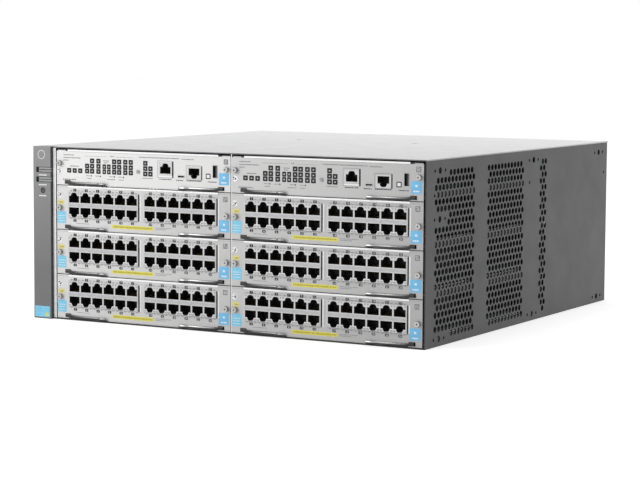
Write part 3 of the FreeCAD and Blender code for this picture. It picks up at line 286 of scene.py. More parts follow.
class Shape:
    """Gathers the faces of one piece, each with its own finish."""

    def __init__(self):
        self.mesh = bmesh.new()
        self.finishes = []

    def index(self, finish):
        if finish not in self.finishes:
            self.finishes.append(finish)
        return self.finishes.index(finish)

    def skin(self, corners, faces, finish):
        """Add loose faces given as corner numbers."""
        index = self.index(finish)
        points = [self.mesh.verts.new(Vector(corner) * MM) for corner in corners]
        made = [self.mesh.faces.new([points[number] for number in face]) for face in faces]
        for face in made:
            face.material_index = index
        return made

    def rounded(self, faces, size, segments):
        edges = {edge for face in faces for edge in face.edges if len(edge.link_faces) == 2
                 and edge.calc_face_angle(0.0) > 0.5}
        bmesh.ops.bevel(self.mesh, geom=list(edges), offset=size * MM, segments=segments, affect="EDGES",
                        profile=0.5, clamp_overlap=True, material=-1)

    def box(self, low, high, finish, edge=0.0, segments=1):
        corners = [(x, y, z) for z in (low[2], high[2]) for y in (low[1], high[1])
                   for x in (low[0], high[0])]
        faces = self.skin(corners, BOX_FACES, finish)
        if edge:
            self.rounded(faces, edge, segments)

    def prism(self, ring, start, end, finish, plane="front", edge=0.0, segments=1):
        """A ring drawn on a plane and drawn out between two depths."""
        turn = PLANES[plane]
        count = len(ring)
        area = sum(u1 * v2 - u2 * v1 for (u1, v1), (u2, v2) in zip(ring, ring[1:] + ring[:1]))
        order = ring if (area > 0) != (plane == "front") else ring[::-1]
        corners = [turn(u, v, depth) for depth in (start, end) for u, v in order]
        caps = [tuple(range(count))[::-1], tuple(range(count, 2 * count))]
        faces = self.skin(corners, caps + tube_walls(2, count), finish)
        if edge:
            self.rounded(faces, edge, segments)

    def plate(self, outline, holes, start, end, finish, plane="front", rim=None, back=None):
        """A flat sheet with holes, between two depths."""
        turn = PLANES[plane]
        rings = [outline] + holes
        points, edges, owner = [], [], []
        for number, ring in enumerate(rings):
            first = len(points)
            points += [Vector(point) for point in ring]
            owner += [number] * len(ring)
            edges += [(first + i, first + (i + 1) % len(ring)) for i in range(len(ring))]
        verts, _, faces, origin, _, _ = delaunay_2d_cdt(points, edges, [], 1, 1e-6)
        home = [owner[first[0]] if first else -1 for first in origin]
        near = [self.mesh.verts.new(Vector(turn(p.x, p.y, start)) * MM) for p in verts]
        far = [self.mesh.verts.new(Vector(turn(p.x, p.y, end)) * MM) for p in verts]

        def add(corners, index):
            self.mesh.faces.new(corners).material_index = index

        indices = [self.index(finish), self.index(back or finish), self.index(rim or finish)]
        sides = {}
        for face in faces:
            first = home[face[0]]
            middle = sum((verts[number] for number in face), Vector((0, 0))) / len(face)
            if first > 0 and all(home[number] == first for number in face):
                if inside([tuple(p) for p in rings[first]], middle.x, middle.y):
                    continue
            order = tuple(face)[::-1] if plane == "front" else tuple(face)
            add([far[number] for number in order], indices[1])
            add([near[number] for number in order[::-1]], indices[0])
            for a, b in zip(order, order[1:] + order[:1]):
                sides[(a, b)] = True
        for a, b in sides:
            if (b, a) not in sides:
                add([near[a], near[b], far[b], far[a]], indices[2])

    def turned(self, middle, profile, finish, count=24, axis=(0, 1, 0)):
        """A turned form: a profile of (radius, depth) pairs about an axis."""
        centre, along = Vector(middle), Vector(axis)
        side = along.orthogonal().normalized()
        other = along.cross(side)
        corners = []
        for radius, depth in profile:
            for u, v in ring_points(0, 0, 1, count):
                corners.append(centre + along * depth + (side * u + other * v) * radius)
        last = (len(profile) - 1) * count
        caps = [tuple(range(count))[::-1], tuple(range(last, last + count))]
        self.skin(corners, tube_walls(len(profile), count) + caps, finish)

    def done(self, name, angle=35.0):
        bmesh.ops.recalc_face_normals(self.mesh, faces=self.mesh.faces)
        data = bpy.data.meshes.new(name)
        self.mesh.to_mesh(data)
        self.mesh.free()
        for finish in self.finishes:
            data.materials.append(finish)
        data.polygons.foreach_set("use_smooth", [True] * len(data.polygons))
        data.set_sharp_from_angle(angle=math.radians(angle))
        return data


def piece(name, data, body, corner=(0, 0, 0), replaces=()):
    item = add_object(name, data)
    item.location = spot(*corner)
    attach(item, body)
    if replaces:
        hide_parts(*replaces)


def chassis_piece(name, shape, replaces=()):
    piece(name, shape.done(name), "chassis", replaces=replaces)


# Chassis

BRACKET_Y = (28.5, 244.0, 419.5)
BRACKET_Z = (6.8, 164.2)
BRACKET_EXTRA = (28.5, 119.0)
BRACKET_RADIUS = 3.1
BRACKET_REACH = 11
SMALL_RADIUS = 1.6
SINGLE_HOLES = ((17.0, 141.3), (234.0, 141.8), (434.5, 142.0))
AIR_RADIUS = 3.05
AIR_PITCH_Y = 7.7
AIR_PITCH_Z = 6.6
AIR_LOW = 9.8
AIR_ROWS = 24
AIR_COLUMNS = 11
# Even and odd rows start at these places, and some rows lack their first holes
AIR_STARTS = ((24.5, 20.5), (140.0, 136.0))
AIR_LAST = ((263.0, 270.8), (267.0, 274.7))
AIR_LOWEST_LAST = (271.0,)
AIR_SKIPS = {0: 4, 16: 3, 17: 4, 23: 4}
FAN_FIRST = 74.0
FAN_PITCH = 134.0
FAN_Z = 84.0
OUTLET_PITCH_Y = 6.8
OUTLET_PITCH_Z = 5.9
OUTLET_RADIUS = 2.4
OUTLET_REACH = 50
CORNER_X = 22.6
CORNER_Y = 10
REAR_BEND = 3.5
REAR_FOLD = 14
COVER_SLOTS = (154, 295)


def bracket_rings():
    """Bolt holes for rack brackets, each with a small hole on both sides."""
    places = [(y, z) for y in BRACKET_Y for z in BRACKET_Z] + [BRACKET_EXTRA]
    rings = []
    for y, z in places:
        rings.append(ring_points(y, z, BRACKET_RADIUS, 20))
        for reach in (-BRACKET_REACH, BRACKET_REACH):
            if 0 < y + reach < BACK:
                rings.append(ring_points(y + reach, z, SMALL_RADIUS, 12))
    rings += [ring_points(y, z, SMALL_RADIUS, 12) for y, z in SINGLE_HOLES]
    return rings, places


def air_rings(places):
    """The three bands of round air holes in the right wall, clear of the other holes."""
    rings = []
    for row in range(AIR_ROWS):
        z = AIR_LOW + AIR_PITCH_Z * row
        odd = row % 2
        line = [AIR_STARTS[0][odd] + AIR_PITCH_Y * i for i in range(AIR_SKIPS.get(row, 0), AIR_COLUMNS)]
        line += [AIR_STARTS[1][odd] + AIR_PITCH_Y * i for i in range(AIR_COLUMNS)]
        line += AIR_LAST[odd] if row else AIR_LOWEST_LAST
        for y in line:
            by_bracket = any(math.hypot(y - py, z - pz) < 8.5
                             or abs(abs(y - py) - BRACKET_REACH) + abs(z - pz) < 4.5 for py, pz in places)
            by_single = any(math.hypot(y - py, z - pz) < 5.2 for py, pz in SINGLE_HOLES)
            if not by_bracket and not by_single:
                rings.append(ring_points(y, z, AIR_RADIUS, 12))
    return rings


def outlet_rings():
    """Round fields of small holes in the left wall, one beside each fan."""
    rings = []
    for fan in range(3):
        middle = FAN_FIRST + FAN_PITCH * fan
        for row in range(-8, 9):
            for column in range(-8, 9):
                y = middle + OUTLET_PITCH_Y * (column + (row % 2) / 2)
                z = FAN_Z + OUTLET_PITCH_Z * row
                if math.hypot(y - middle, z - FAN_Z) < OUTLET_REACH:
                    rings.append(ring_points(y, z, OUTLET_RADIUS, 10))
    return rings


def make_shell():
    """Floor, side walls, bezel bulkhead and rear fold of the chassis tray."""
    shape = Shape()
    small, places = bracket_rings()
    right_ring = box_ring(0, BACK - REAR_BEND, 0, WALL_TOP)
    # The walls of the holes in the side walls and floor are in painted shade.
    shape.plate(right_ring, small + air_rings(places), WIDTH - GAUGE, WIDTH, PAINT, "side", rim=RECESS_SHADE)
    left_ring = box_ring(CORNER_Y, BACK, 0, WALL_TOP)
    shape.plate(left_ring, small + outlet_rings(), 0, GAUGE, PAINT, "side", rim=RECESS_SHADE)
    floor = [(CORNER_X, 0), (WIDTH - GAUGE, 0), (WIDTH - GAUGE, BACK), (GAUGE, BACK), (GAUGE, CORNER_Y),
             (CORNER_X, CORNER_Y)]
    feet = [ring_points(x, y, 4.0, 20) for x in (40, WIDTH - 40) for y in (40, BACK - 40)]
    feet += [ring_points(x, y, 1.8, 12) for x in (120, 222, 324) for y in (18, 230, 425)]
    shape.plate(floor, feet, 0, GAUGE, PAINT, "top", rim=RECESS_SHADE)
    shape.box((GAUGE, CORNER_Y, GAUGE), (CORNER_X + 0.2, CORNER_Y + GAUGE, WALL_TOP), PAINT)
    # Rear fold of the right wall: a quarter bend and a return
    middle = (WIDTH - REAR_BEND, BACK - REAR_BEND)
    outer = arc_points(*middle, REAR_BEND, 0)
    inner = arc_points(*middle, REAR_BEND - GAUGE, 0)
    fold = outer + [(WIDTH - REAR_FOLD, BACK), (WIDTH - REAR_FOLD, BACK - GAUGE)] + inner[::-1]
    shape.prism(fold, 0, WALL_TOP, PAINT, "top")
    chassis_piece("chassis_shell", shape, ["chassis_tray"])


def make_cover():
    """Top sheet with folded sides, a front edge in painted shade and two slots over pockets of painted
    shade.
    """
    shape = Shape()
    ring = [(CORNER_X, 0), (WIDTH, 0), (WIDTH, BACK), (0, BACK), (0, CORNER_Y), (CORNER_X, CORNER_Y)]
    slots = [round_ring(x - 3, x + 3, 268.5, 274.5, 1.2) for x in COVER_SLOTS]
    shape.plate(ring, slots, WALL_TOP + 0.05, HEIGHT, COVER, "top", rim=COVER, back=COVER)
    for x in (GAUGE, WIDTH - 2 * GAUGE):
        shape.box((x, 12.4, WALL_TOP - 6), (x + GAUGE, BACK - REAR_FOLD, WALL_TOP + 0.1), COVER)
    # The cover's front face in painted shade.
    shape.box((CORNER_X + 0.4, -0.03, WALL_TOP + 0.1), (WIDTH - 0.4, PRINT_SUNK, HEIGHT - 0.25), GUIDE_AND_SHADE)
    for x in COVER_SLOTS:
        shape.box((x - 3.2, 268.3, WALL_TOP - 1), (x + 3.2, 274.7, WALL_TOP - 0.2), RECESS_SHADE)
    chassis_piece("top_sheet", shape, ["top_cover"])


BEZEL_FRONT = -3.9
BEZEL_BACK = 10.0
BEZEL_WIDE = 22.3
BEZEL_BEND = 1.6
BEZEL_WALL = 1.7
NOTCH_LOWS = (139.1, 149.0)
NOTCH_TALL = 5.6
LENS_X, LENS_Z = 12.8, 130.8
BADGE_X, BADGE_Z = 11.0, 167.0


def make_bezel():
    """Moulded bezel with soft edges, two notches and a lens hole."""
    shape = Shape()
    ring = [(BEZEL_WIDE, BEZEL_FRONT), (BEZEL_WIDE, BEZEL_BACK), (0, BEZEL_BACK)]
    ring += arc_points(BEZEL_BEND, BEZEL_FRONT + BEZEL_BEND, BEZEL_BEND, 180)
    shape.prism(ring, 0.0, HEIGHT, BEZEL, "top", edge=0.5, segments=2)
    # The right side faces take the bezel_shadow finish: painted shade.
    dark = shape.index(BEZEL_DARK)
    for face in shape.mesh.faces:
        if face.calc_center_median().x > (BEZEL_WIDE - 0.3) * MM:
            face.material_index = dark
    blank = add_object("bezel_cutting", shape.done("bezel_blank", 30))
    cutter = Shape()
    for low in NOTCH_LOWS:
        notch = round_ring(4.5, 26, low, low + NOTCH_TALL, 0.8)
        cutter.prism(notch, BEZEL_FRONT - 1, BEZEL_FRONT + 2, BEZEL_DARK)
    cutter.turned((LENS_X, BEZEL_FRONT - 1, LENS_Z), [(2.9, 0), (2.9, 4)], BEZEL_DARK, 28)
    cutter.box((BEZEL_WALL, BEZEL_FRONT + 3.4, BEZEL_WALL),
               (BEZEL_WIDE - BEZEL_WALL, BEZEL_BACK + 1, HEIGHT - BEZEL_WALL), BEZEL)
    tool = add_object("bezel_tool", cutter.done("bezel_tool"))
    cut = blank.modifiers.new("cut", "BOOLEAN")
    cut.operation = "DIFFERENCE"
    cut.solver = "EXACT"
    cut.object = tool
    bpy.context.view_layer.update()
    graph = bpy.context.evaluated_depsgraph_get()
    result = bpy.data.meshes.new_from_object(blank.evaluated_get(graph))
    for gone in (blank, tool):
        bpy.data.objects.remove(gone)
    result.name = "bezel_cover"
    result.set_sharp_from_angle(angle=math.radians(30))
    piece("bezel_cover", result, "chassis", replaces=["front_bezel"])


def make_bezel_lights():
    """Clear bars in the notches and the locator lens."""
    shape = Shape()
    for low in NOTCH_LOWS:
        for step in (-1.3, 1.3):
            middle = low + NOTCH_TALL / 2 + step
            ring = round_ring(7.5, 22.25, middle - 0.95, middle + 0.95, 0.7)
            shape.prism(ring, -3.5, -1.9, CLEAR, edge=0.3, segments=2)
    profile = [(1.0, 0.1), (2.2, 0.3), (2.8, 0.9), (2.85, 3.4)]
    shape.turned((LENS_X, BEZEL_FRONT, LENS_Z), profile, LENS, 28)
    chassis_piece("bezel_lamps", shape, ["bezel_light_pipes"])


def make_bay_strip():
    """Edge of the fan bay wall, between the bezel and the modules, near white as a painted highlight."""
    shape = Shape()
    shape.box((22.9, -0.3, 1.4), (26.3, 0.05, WALL_TOP - 0.3), LIP_HIGHLIGHT, 0.1)
    chassis_piece("bay_strip", shape)


def bars(shape, rows, finish, seed, depth, gap, tall):
    """Lines of short bars that stand in for small print on the front."""
    draw = random.Random(seed)
    for left, right, z in rows:
        x = left
        while x < right:
            end = min(x + draw.uniform(0.5, 2.2), right)
            if end - x > 0.25:
                shape.box((x, depth - 0.04, z - tall / 2), (end, depth + PRINT_SUNK, z + tall / 2), finish)
            x = end + draw.uniform(0.25, gap)


def mark(shape, left, right, low, high, finish, lift=0.04):
    """A plain printed rectangle on the plane of the faces."""
    shape.box((left, -lift, low), (right, PRINT_SUNK, high), finish)


def make_bezel_print():
    """Ring in the badge's place, captions, and a pale label with a round dot."""
    shape = Shape()
    near, far = BEZEL_FRONT - 0.04, BEZEL_FRONT + 0.1
    rings = [ring_points(BADGE_X, BADGE_Z, radius, 32) for radius in (4.5, 3.95)]
    shape.plate(rings[0], rings[1:], near, far, INK_PALE)
    bars(shape, [(7.6, 17.5, 146.3), (7.6, 17.5, 136.4), (8.0, 16.8, 125.3)], INK_PALE, 3, BEZEL_FRONT,
         0.3, 1.2)
    shape.prism(round_ring(2.0, 20.5, 1.5, 12.5, 0.6), near, far, BLUE_PALE)
    bars(shape, [(3.2, 12.0, 10.2), (3.2, 13.5, 7.2), (3.2, 10.0, 3.6)], BLUE, 5, near, 0.6, 1.0)
    shape.turned((16.8, BEZEL_FRONT - 0.08, 4.4), [(2.0, 0), (2.0, 0.16)], YELLOW, 20)
    chassis_piece("bezel_print", shape)


# Modules

PIVOT_LEFT = 13.4
PIVOT_RIGHT = MODULE_WIDE - 10.5
PIN_Y = 3.7
LEVER_WINDOWS = [
    box_ring(PIVOT_LEFT - 3.6, PIVOT_LEFT + 3.4, 1.0, 4.8),
    box_ring(PIVOT_RIGHT - 3.4, PIVOT_RIGHT + 3.6, 1.0, 4.8),
]
SCREW_X = 4.3
SCREW_PROFILE = [(2.4, -3.4), (2.7, -2.9), (2.7, -0.4), (2.45, 0.0), (1.5, 0.0), (1.5, 6.0)]
KNURLS = 16
NOTCH_DEEP = 1.6
BLOCK_RUN = 4.5
LIP_START = 14.0
TRAY_FRONT = 11
TRAY_BACK = 256
TRAY_LOW = 1.8
TRAY_TOP = 2.8


def captive_screw(shape, x, z):
    """Knurled thumb screw with a cross in its head, its knurl grooves and cross in painted shade."""
    shape.turned((x, 0, z), SCREW_PROFILE, SCREW, 32)
    for cx, cz in ring_points(x, z, 2.66, KNURLS):
        shape.turned((cx, -2.8, cz), [(0.16, 0), (0.16, 2.3)], RECESS_SHADE, 5)
    for wide, tall in ((1.5, 0.28), (0.28, 1.5)):
        shape.box((x - wide, -3.43, z - tall), (x + wide, -3.3, z + tall), RECESS_SHADE)


def carrier_shape(tall, windows, board_under, screw_up, finish, notch=0.0):
    """Module face, its folded tray, lever lugs, posts and captive screws."""
    shape = Shape()
    outline = round_ring(0, MODULE_WIDE, 0, tall, 0.5)
    seam_top = tall - NOTCH_DEEP
    if notch:
        low = seam_top
        seam_top -= NOTCH_DEEP / 4
        right = MODULE_WIDE - notch
        outline = [(0, 0), (MODULE_WIDE, 0), (MODULE_WIDE, low), (right, low), (right, tall),
                   (notch, tall), (notch, low), (0, low)]
        # Dark boxes at the ends of the notch are painted shade.
        for start, end, top, skin in (
                (notch - BLOCK_RUN, notch, 0.2, RECESS_SHADE), (right, right + BLOCK_RUN, 0.2, RECESS_SHADE),
                (1, notch - BLOCK_RUN, 0.7, finish), (right + BLOCK_RUN, MODULE_WIDE - 1, 0.7, finish)):
            shape.box((start, GAUGE, low - 1), (end, GAUGE + 0.6, tall - top), skin)
    holes = [box_ring(*window) for window in windows] + LEVER_WINDOWS
    shape.plate(outline, holes, 0, GAUGE, finish, rim=EDGE, back=ZINC)
    # Grey lines along the face's bends: painted shade.
    for low in (0.55, seam_top):
        mark(shape, notch + 1, MODULE_WIDE - notch - 1, low, low + 0.22, SEAM_AND_SHADE, 0.03)
    tray = [(20, 0.6), (MODULE_WIDE - 20, 0.6), (MODULE_WIDE - 20, TRAY_FRONT),
            (MODULE_WIDE - 1, TRAY_FRONT), (MODULE_WIDE - 1, TRAY_BACK), (1, TRAY_BACK),
            (1, TRAY_FRONT), (20, TRAY_FRONT)]
    slots = [round_ring(x, x + 3, y, y + 22, 1.4) for x in range(30, 180, 12) for y in (70, 180)]
    shape.plate(tray, slots, TRAY_LOW, TRAY_TOP, ZINC, "top")
    for x in (1, MODULE_WIDE - 2):
        shape.box((x, TRAY_FRONT, 2.7), (x + 1, TRAY_BACK, 8.8), ZINC)
    shape.box((1 + notch, 0.6, tall - 1), (MODULE_WIDE - 1 - notch, 6.2, tall), ZINC, 0.2)
    # Rolled top lip, near white: painted highlight on the fold.
    shape.box((LIP_START, -0.4, tall - 1.7), (MODULE_WIDE - LIP_START, 0.7, tall), LIP_HIGHLIGHT, 0.25, 2)
    # A dark line along the face's bottom edge: painted shade.
    mark(shape, LIP_START, 62.0, 0.05, 0.9, RECESS_SHADE)
    for pivot in (PIVOT_LEFT, PIVOT_RIGHT):
        for low in (0.1, 4.8):
            ring = round_ring(pivot - 3.2, pivot + 3.2, 0.6, 6.9, 1.5)
            shape.prism(ring, low, low + 0.9, ZINC, "top")
        shape.turned((pivot, PIN_Y, 0.2), [(1.2, 0), (1.2, 5.4)], SCREW, 20, UPWARD)
    for x in (TRAY_FRONT, MODULE_WIDE - TRAY_FRONT):
        for y in (24, 128, 244):
            shape.turned((x, y, 2.7), [(2.6, 0), (2.6, board_under - 2.7)], SCREW, 6, UPWARD)
    for x in (SCREW_X, MODULE_WIDE - SCREW_X):
        captive_screw(shape, x, screw_up)
    return shape


PORT_PITCH = 14.0
PORTS_WIDE = 6
BLOCKS = ((14.5, 99.9), (105.9, 191.3))
BLOCK_LOW = 12.4
BLOCK_HIGH = 38.6
BLOCK_SLOT = 0.5
BLOCK_FRONT = -1.5
BLOCK_BACK = 13.5
SHIELD = 0.35
UPPER_START = 27.55
LOWER_START = 22.75
PORT_STEPS = ((6.15, 0.0), (6.15, 6.9), (3.9, 6.9), (3.4, 8.5), (2.5, 9.7), (1.3, 10.15))
PORT_DEEP = 12.5
CONTACTS = 8
CONTACT_PITCH = 1.02
CONTACT_WIDE = 0.36
CONTACT_THICK = 0.3


def port_columns(block):
    """The middles of a block's six columns of sockets."""
    return [sum(block) / 2 + PORT_PITCH * (number - (PORTS_WIDE - 1) / 2) for number in range(PORTS_WIDE)]


def mouth_ring(x, start, sign):
    """A socket's stepped mouth, with its latch slot away from the start."""
    right = [(x + half, start + sign * rise) for half, rise in PORT_STEPS]
    left = [(2 * x - u, v) for u, v in right]
    return right + left[::-1]


def socket_inside(shape, x, start, sign, front):
    """The dark insert behind a socket's mouth, with its row of gold contacts."""
    ring = mouth_ring(x, start, sign)
    count = len(ring)
    corners = [(u, depth, v) for depth in (front + 0.35, front + PORT_DEEP) for u, v in ring]
    shape.skin(corners, tube_walls(2, count) + [tuple(range(count, 2 * count))], CAVITY)
    ends = ((front + 2.6, start + sign * 0.5), (front + 8.0, start + sign * 3.1))
    for number in range(CONTACTS):
        left = x + (number - (CONTACTS - 1) / 2) * CONTACT_PITCH - CONTACT_WIDE / 2
        shape.skin([(u, y + thick, z - sign * thick) for thick in (0, CONTACT_THICK) for y, z in ends
                    for u in (left, left + CONTACT_WIDE)], BOX_FACES, GOLD)


def tab(shape, x, half, low, high, finish):
    """A flat rectangle on the front of a socket block."""
    shape.box((x - half, BLOCK_FRONT - 0.04, low), (x + half, BLOCK_FRONT + 0.1, high), finish)


def lamp_plate(shape, x, left, right):
    """A tapered plate between two lower sockets, with a painted highlight round its rim and its grey
    lamps.
    """
    slope = 1.35
    front = BLOCK_FRONT
    for low, high, inset, depth, finish in ((12.7, 15.7, 0.0, 0.05, LIP_HIGHLIGHT), (12.95, 15.3, 0.5, 0.1, BAND)):
        near, far = left + inset * bool(left), right - inset * bool(right)
        ring = [(x + near, low), (x + far, low), (x + far - slope * bool(right), high),
                (x + near + slope * bool(left), high)]
        shape.prism(ring, front - depth, front + 0.1, finish)
    if left and right:
        for side in (-1.8, 1.8):
            shape.box((x + side - 0.9, front - 0.14, 13.0), (x + side + 0.9, front, 14.2), LAMP)


def jacks_data():
    """Two shielded blocks of twelve sockets with lamp windows and springs."""
    shape = Shape()
    front = BLOCK_FRONT
    for left, right in BLOCKS:
        columns = port_columns((left, right))
        rings = [mouth_ring(x, *end) for x in columns for end in ((UPPER_START, 1), (LOWER_START, -1))]
        outline = round_ring(left, right, BLOCK_LOW, BLOCK_HIGH, 0.6)
        shape.plate(outline, rings, front, front + 0.4, SHELL, rim=CAVITY)
        shape.box((left + 0.8, front - 0.02, 23.6), (right - 1.6, front + 0.1, 26.6), BAND)
        for x in columns:
            socket_inside(shape, x, UPPER_START, 1, front)
            socket_inside(shape, x, LOWER_START, -1, front)
            for side in (-5.5, 5.5):
                tab(shape, x + side, 0.8, 36.3, 37.8, LAMP)
        # Side sheets of the shield, the right one in painted shade, and the seams and lamp plates between
        # its sockets
        for start, finish in ((left, SHELL), (right - SHIELD, RECESS_SHADE)):
            shape.box((start, front + 0.3, BLOCK_LOW), (start + SHIELD, BLOCK_BACK, BLOCK_HIGH), finish)
        for x in columns[1:]:
            x -= PORT_PITCH / 2
            tab(shape, x, 0.12, 22.9, 27.4, SEAM_AND_SHADE)
            lamp_plate(shape, x, -4.3, 4.3)
        lamp_plate(shape, left + 0.7, 0.0, 4.3)
        lamp_plate(shape, right - 0.7, -4.3, 0.0)
        tab(shape, right - 0.75, 0.65, BLOCK_LOW + 0.6, BLOCK_HIGH - 0.6, BAND)
        for low in (BLOCK_LOW, BLOCK_HIGH - SHIELD):
            shape.box((left, front + 0.3, low), (right, BLOCK_BACK, low + SHIELD), SHELL)
        shape.box((left, BLOCK_BACK - 0.4, BLOCK_LOW), (right, BLOCK_BACK, BLOCK_HIGH), SHELL)
        for x in columns:
            for z in (BLOCK_HIGH - 0.1, BLOCK_LOW - 0.12):
                shape.box((x - 1.4, 3.2, z), (x + 1.4, 9.5, z + 0.22), SHELL, 0.08)
    return shape.done("socket_blocks", 30)


LEVER_TOP = 4.5
# Sections from the boss to the tab: distance, front, back, lowest and highest point
LEVER_STATIONS = (
    (-2.6, -1.5, 6.3, 1.3, LEVER_TOP), (2.6, -1.5, 6.3, 1.3, LEVER_TOP), (2.7, -1.5, -0.3, 1.3, LEVER_TOP),
    (4.0, -1.5, -0.3, 0.2, 3.5), (12, -1.5, -0.3, 0.1, 3.1), (26, -1.5, -0.3, 0.2, 3.1),
    (36.5, -1.5, -0.3, 0.4, 3.1), (38.4, -1.8, -0.5, 0.4, 3.1), (40.0, -3.25, -1.9, 0.4, 3.1),
    (41.0, -3.4, -2.2, 0.3, 3.1), (46.8, -3.4, -2.2, 0.3, 3.1), (48.0, -2.8, -2.1, 0.9, 3.0),
)
# The crowned front of a section: share of its height, and how far it is set back
LEVER_CROWN = ((0.0, 0.35), (0.22, 0.0), (0.5, 0.0), (0.8, 0.06), (0.95, 0.3), (1.0, 0.6))
LEVER_SHADED_SECTIONS = 3


def lever_data(pivot, sign, finish):
    """Sprung ejector lever: crowned bar with its underside and boss end in painted shade, rolled boss with
    a pin hole in painted shade, and bent finger tab.
    """
    shape = Shape()
    corners = []
    ring = 2 * len(LEVER_CROWN)
    for distance, front, back, low, high in LEVER_STATIONS:
        x = pivot + sign * distance
        tall = high - low
        sunk = min(0.6, back - front) / 0.6
        corners += [(x, front + inset * sunk, low + tall * share) for share, inset in LEVER_CROWN]
        corners += [(x, back, low + tall * share) for share, _ in LEVER_CROWN[::-1]]
    last = (len(LEVER_STATIONS) - 1) * ring
    walls = tube_walls(len(LEVER_STATIONS), ring)
    made = shape.skin(corners, walls + [tuple(range(ring)), tuple(range(last, last + ring))], finish)
    # Underside faces and the sections by the boss take the painted shade.
    under = shape.index(LEVER_SHADE)
    for number, face in enumerate(made[:len(walls)]):
        if number % ring in (0, 1, ring - 1) or number < LEVER_SHADED_SECTIONS * ring:
            face.material_index = under
    shape.turned((pivot, PIN_Y, LEVER_TOP - 0.05), [(1.25, 0), (1.0, 0.12)], RECESS_SHADE, 18, UPWARD)
    return shape.done("lever", 50)


def number_data(text):
    """The flat shape of a plain number, one unit tall."""
    curve = bpy.data.curves.new("number", "FONT")
    curve.body = text
    curve.align_x = "CENTER"
    curve.resolution_u = 2
    item = add_object("number", curve)
    bpy.context.view_layer.update()
    data = bpy.data.meshes.new_from_object(item.evaluated_get(bpy.context.evaluated_depsgraph_get()))
    points = [(v.co.x, v.co.y) for v in data.vertices]
    faces = [tuple(polygon.vertices) for polygon in data.polygons]
    bpy.data.objects.remove(item)
    bpy.data.curves.remove(curve)
    bpy.data.meshes.remove(data)
    high = max(v for _, v in points)
    low = min(v for _, v in points)
    return [(u / (high - low), (v - low) / (high - low)) for u, v in points], faces


NUMBERS = {number: number_data(str(number)) for number in range(1, 25)}
NUMBER_TALL = 1.9


def number_at(shape, number, x, z):
    """A white port number on its dark tab."""
    shape.prism(pad_ring(x, z, 1.9, 1.35, 0.4), -0.04, PRINT_SUNK, INK_AND_SHADE)
    points, faces = NUMBERS[number]
    shape.skin([(x + u * NUMBER_TALL, -0.05, z + (v - 0.5) * NUMBER_TALL) for u, v in points],
               [face[::-1] for face in faces], PAPER)


def outline_at(shape, window, line):
    """A printed outline: a flat ring with a hole."""
    hole = round_ring(*shrunk(window, line), 0.25, 2)
    shape.plate(round_ring(*window, 0.5, 2), [hole], -0.04, PRINT_SUNK, INK_SOFT)


def blue_label(shape, left, right, low, high, seed, finish):
    """A blue handling label with faint lines on the left or two white marks on the right."""
    shape.prism(round_ring(left, right, low, high, 0.5), -0.06, 0.0, finish)
    tall = high - low
    middle = (left + right) / 2
    if finish is BLUE_PALE:
        rows = [(left + 1.2, right - 1.2, low + tall * part) for part in (0.2, 0.42, 0.62)]
        bars(shape, rows, PAPER, seed, -0.05, 0.9, 0.6)
    else:
        shape.box((middle - 1.1, -0.1, low + tall * 0.55), (middle + 1.1, -0.05, low + tall * 0.72), PAPER)
        bars(shape, [(middle - 3.2, middle + 3.2, low + tall * 0.2)], PAPER, seed, -0.07, 0.4, 1.3)


def sticker(shape, x, z, radius, seed):
    """A round white seal with a few dark bars."""
    shape.turned((x, -0.08, z), [(radius, 0), (radius, 0.1)], PAPER, 24)
    draw = random.Random(seed)
    reach = radius * 0.66
    for _ in range(5):
        angle = draw.uniform(0, 6.2)
        cx, cz = x + reach * math.cos(angle), z + reach * math.sin(angle)
        shape.box((cx - 0.6, -0.12, cz - 0.35), (cx + 0.6, -0.07, cz + 0.35), INK_AND_SHADE)
    shape.box((x - 0.2, -0.12, z - 1.0), (x + 1.3, -0.07, z + 0.7), INK_AND_SHADE)


def speckle(shape, x, z, side, seed):
    """A plain dotted square in place of a coded mark."""
    draw = random.Random(seed)
    left, low = x - side / 2, z - side / 2
    mark(shape, left, x + side / 2, low, z + side / 2, INK_AND_SHADE, 0.05)
    step = side / 6
    for i in range(1, 6):
        for j in range(1, 6):
            half = step * draw.uniform(0.5, 0.8) / 2
            u, v = left + step * i, low + step * j
            shape.box((u - half, -0.09, v - half), (u + half, -0.04, v + half), PAPER)


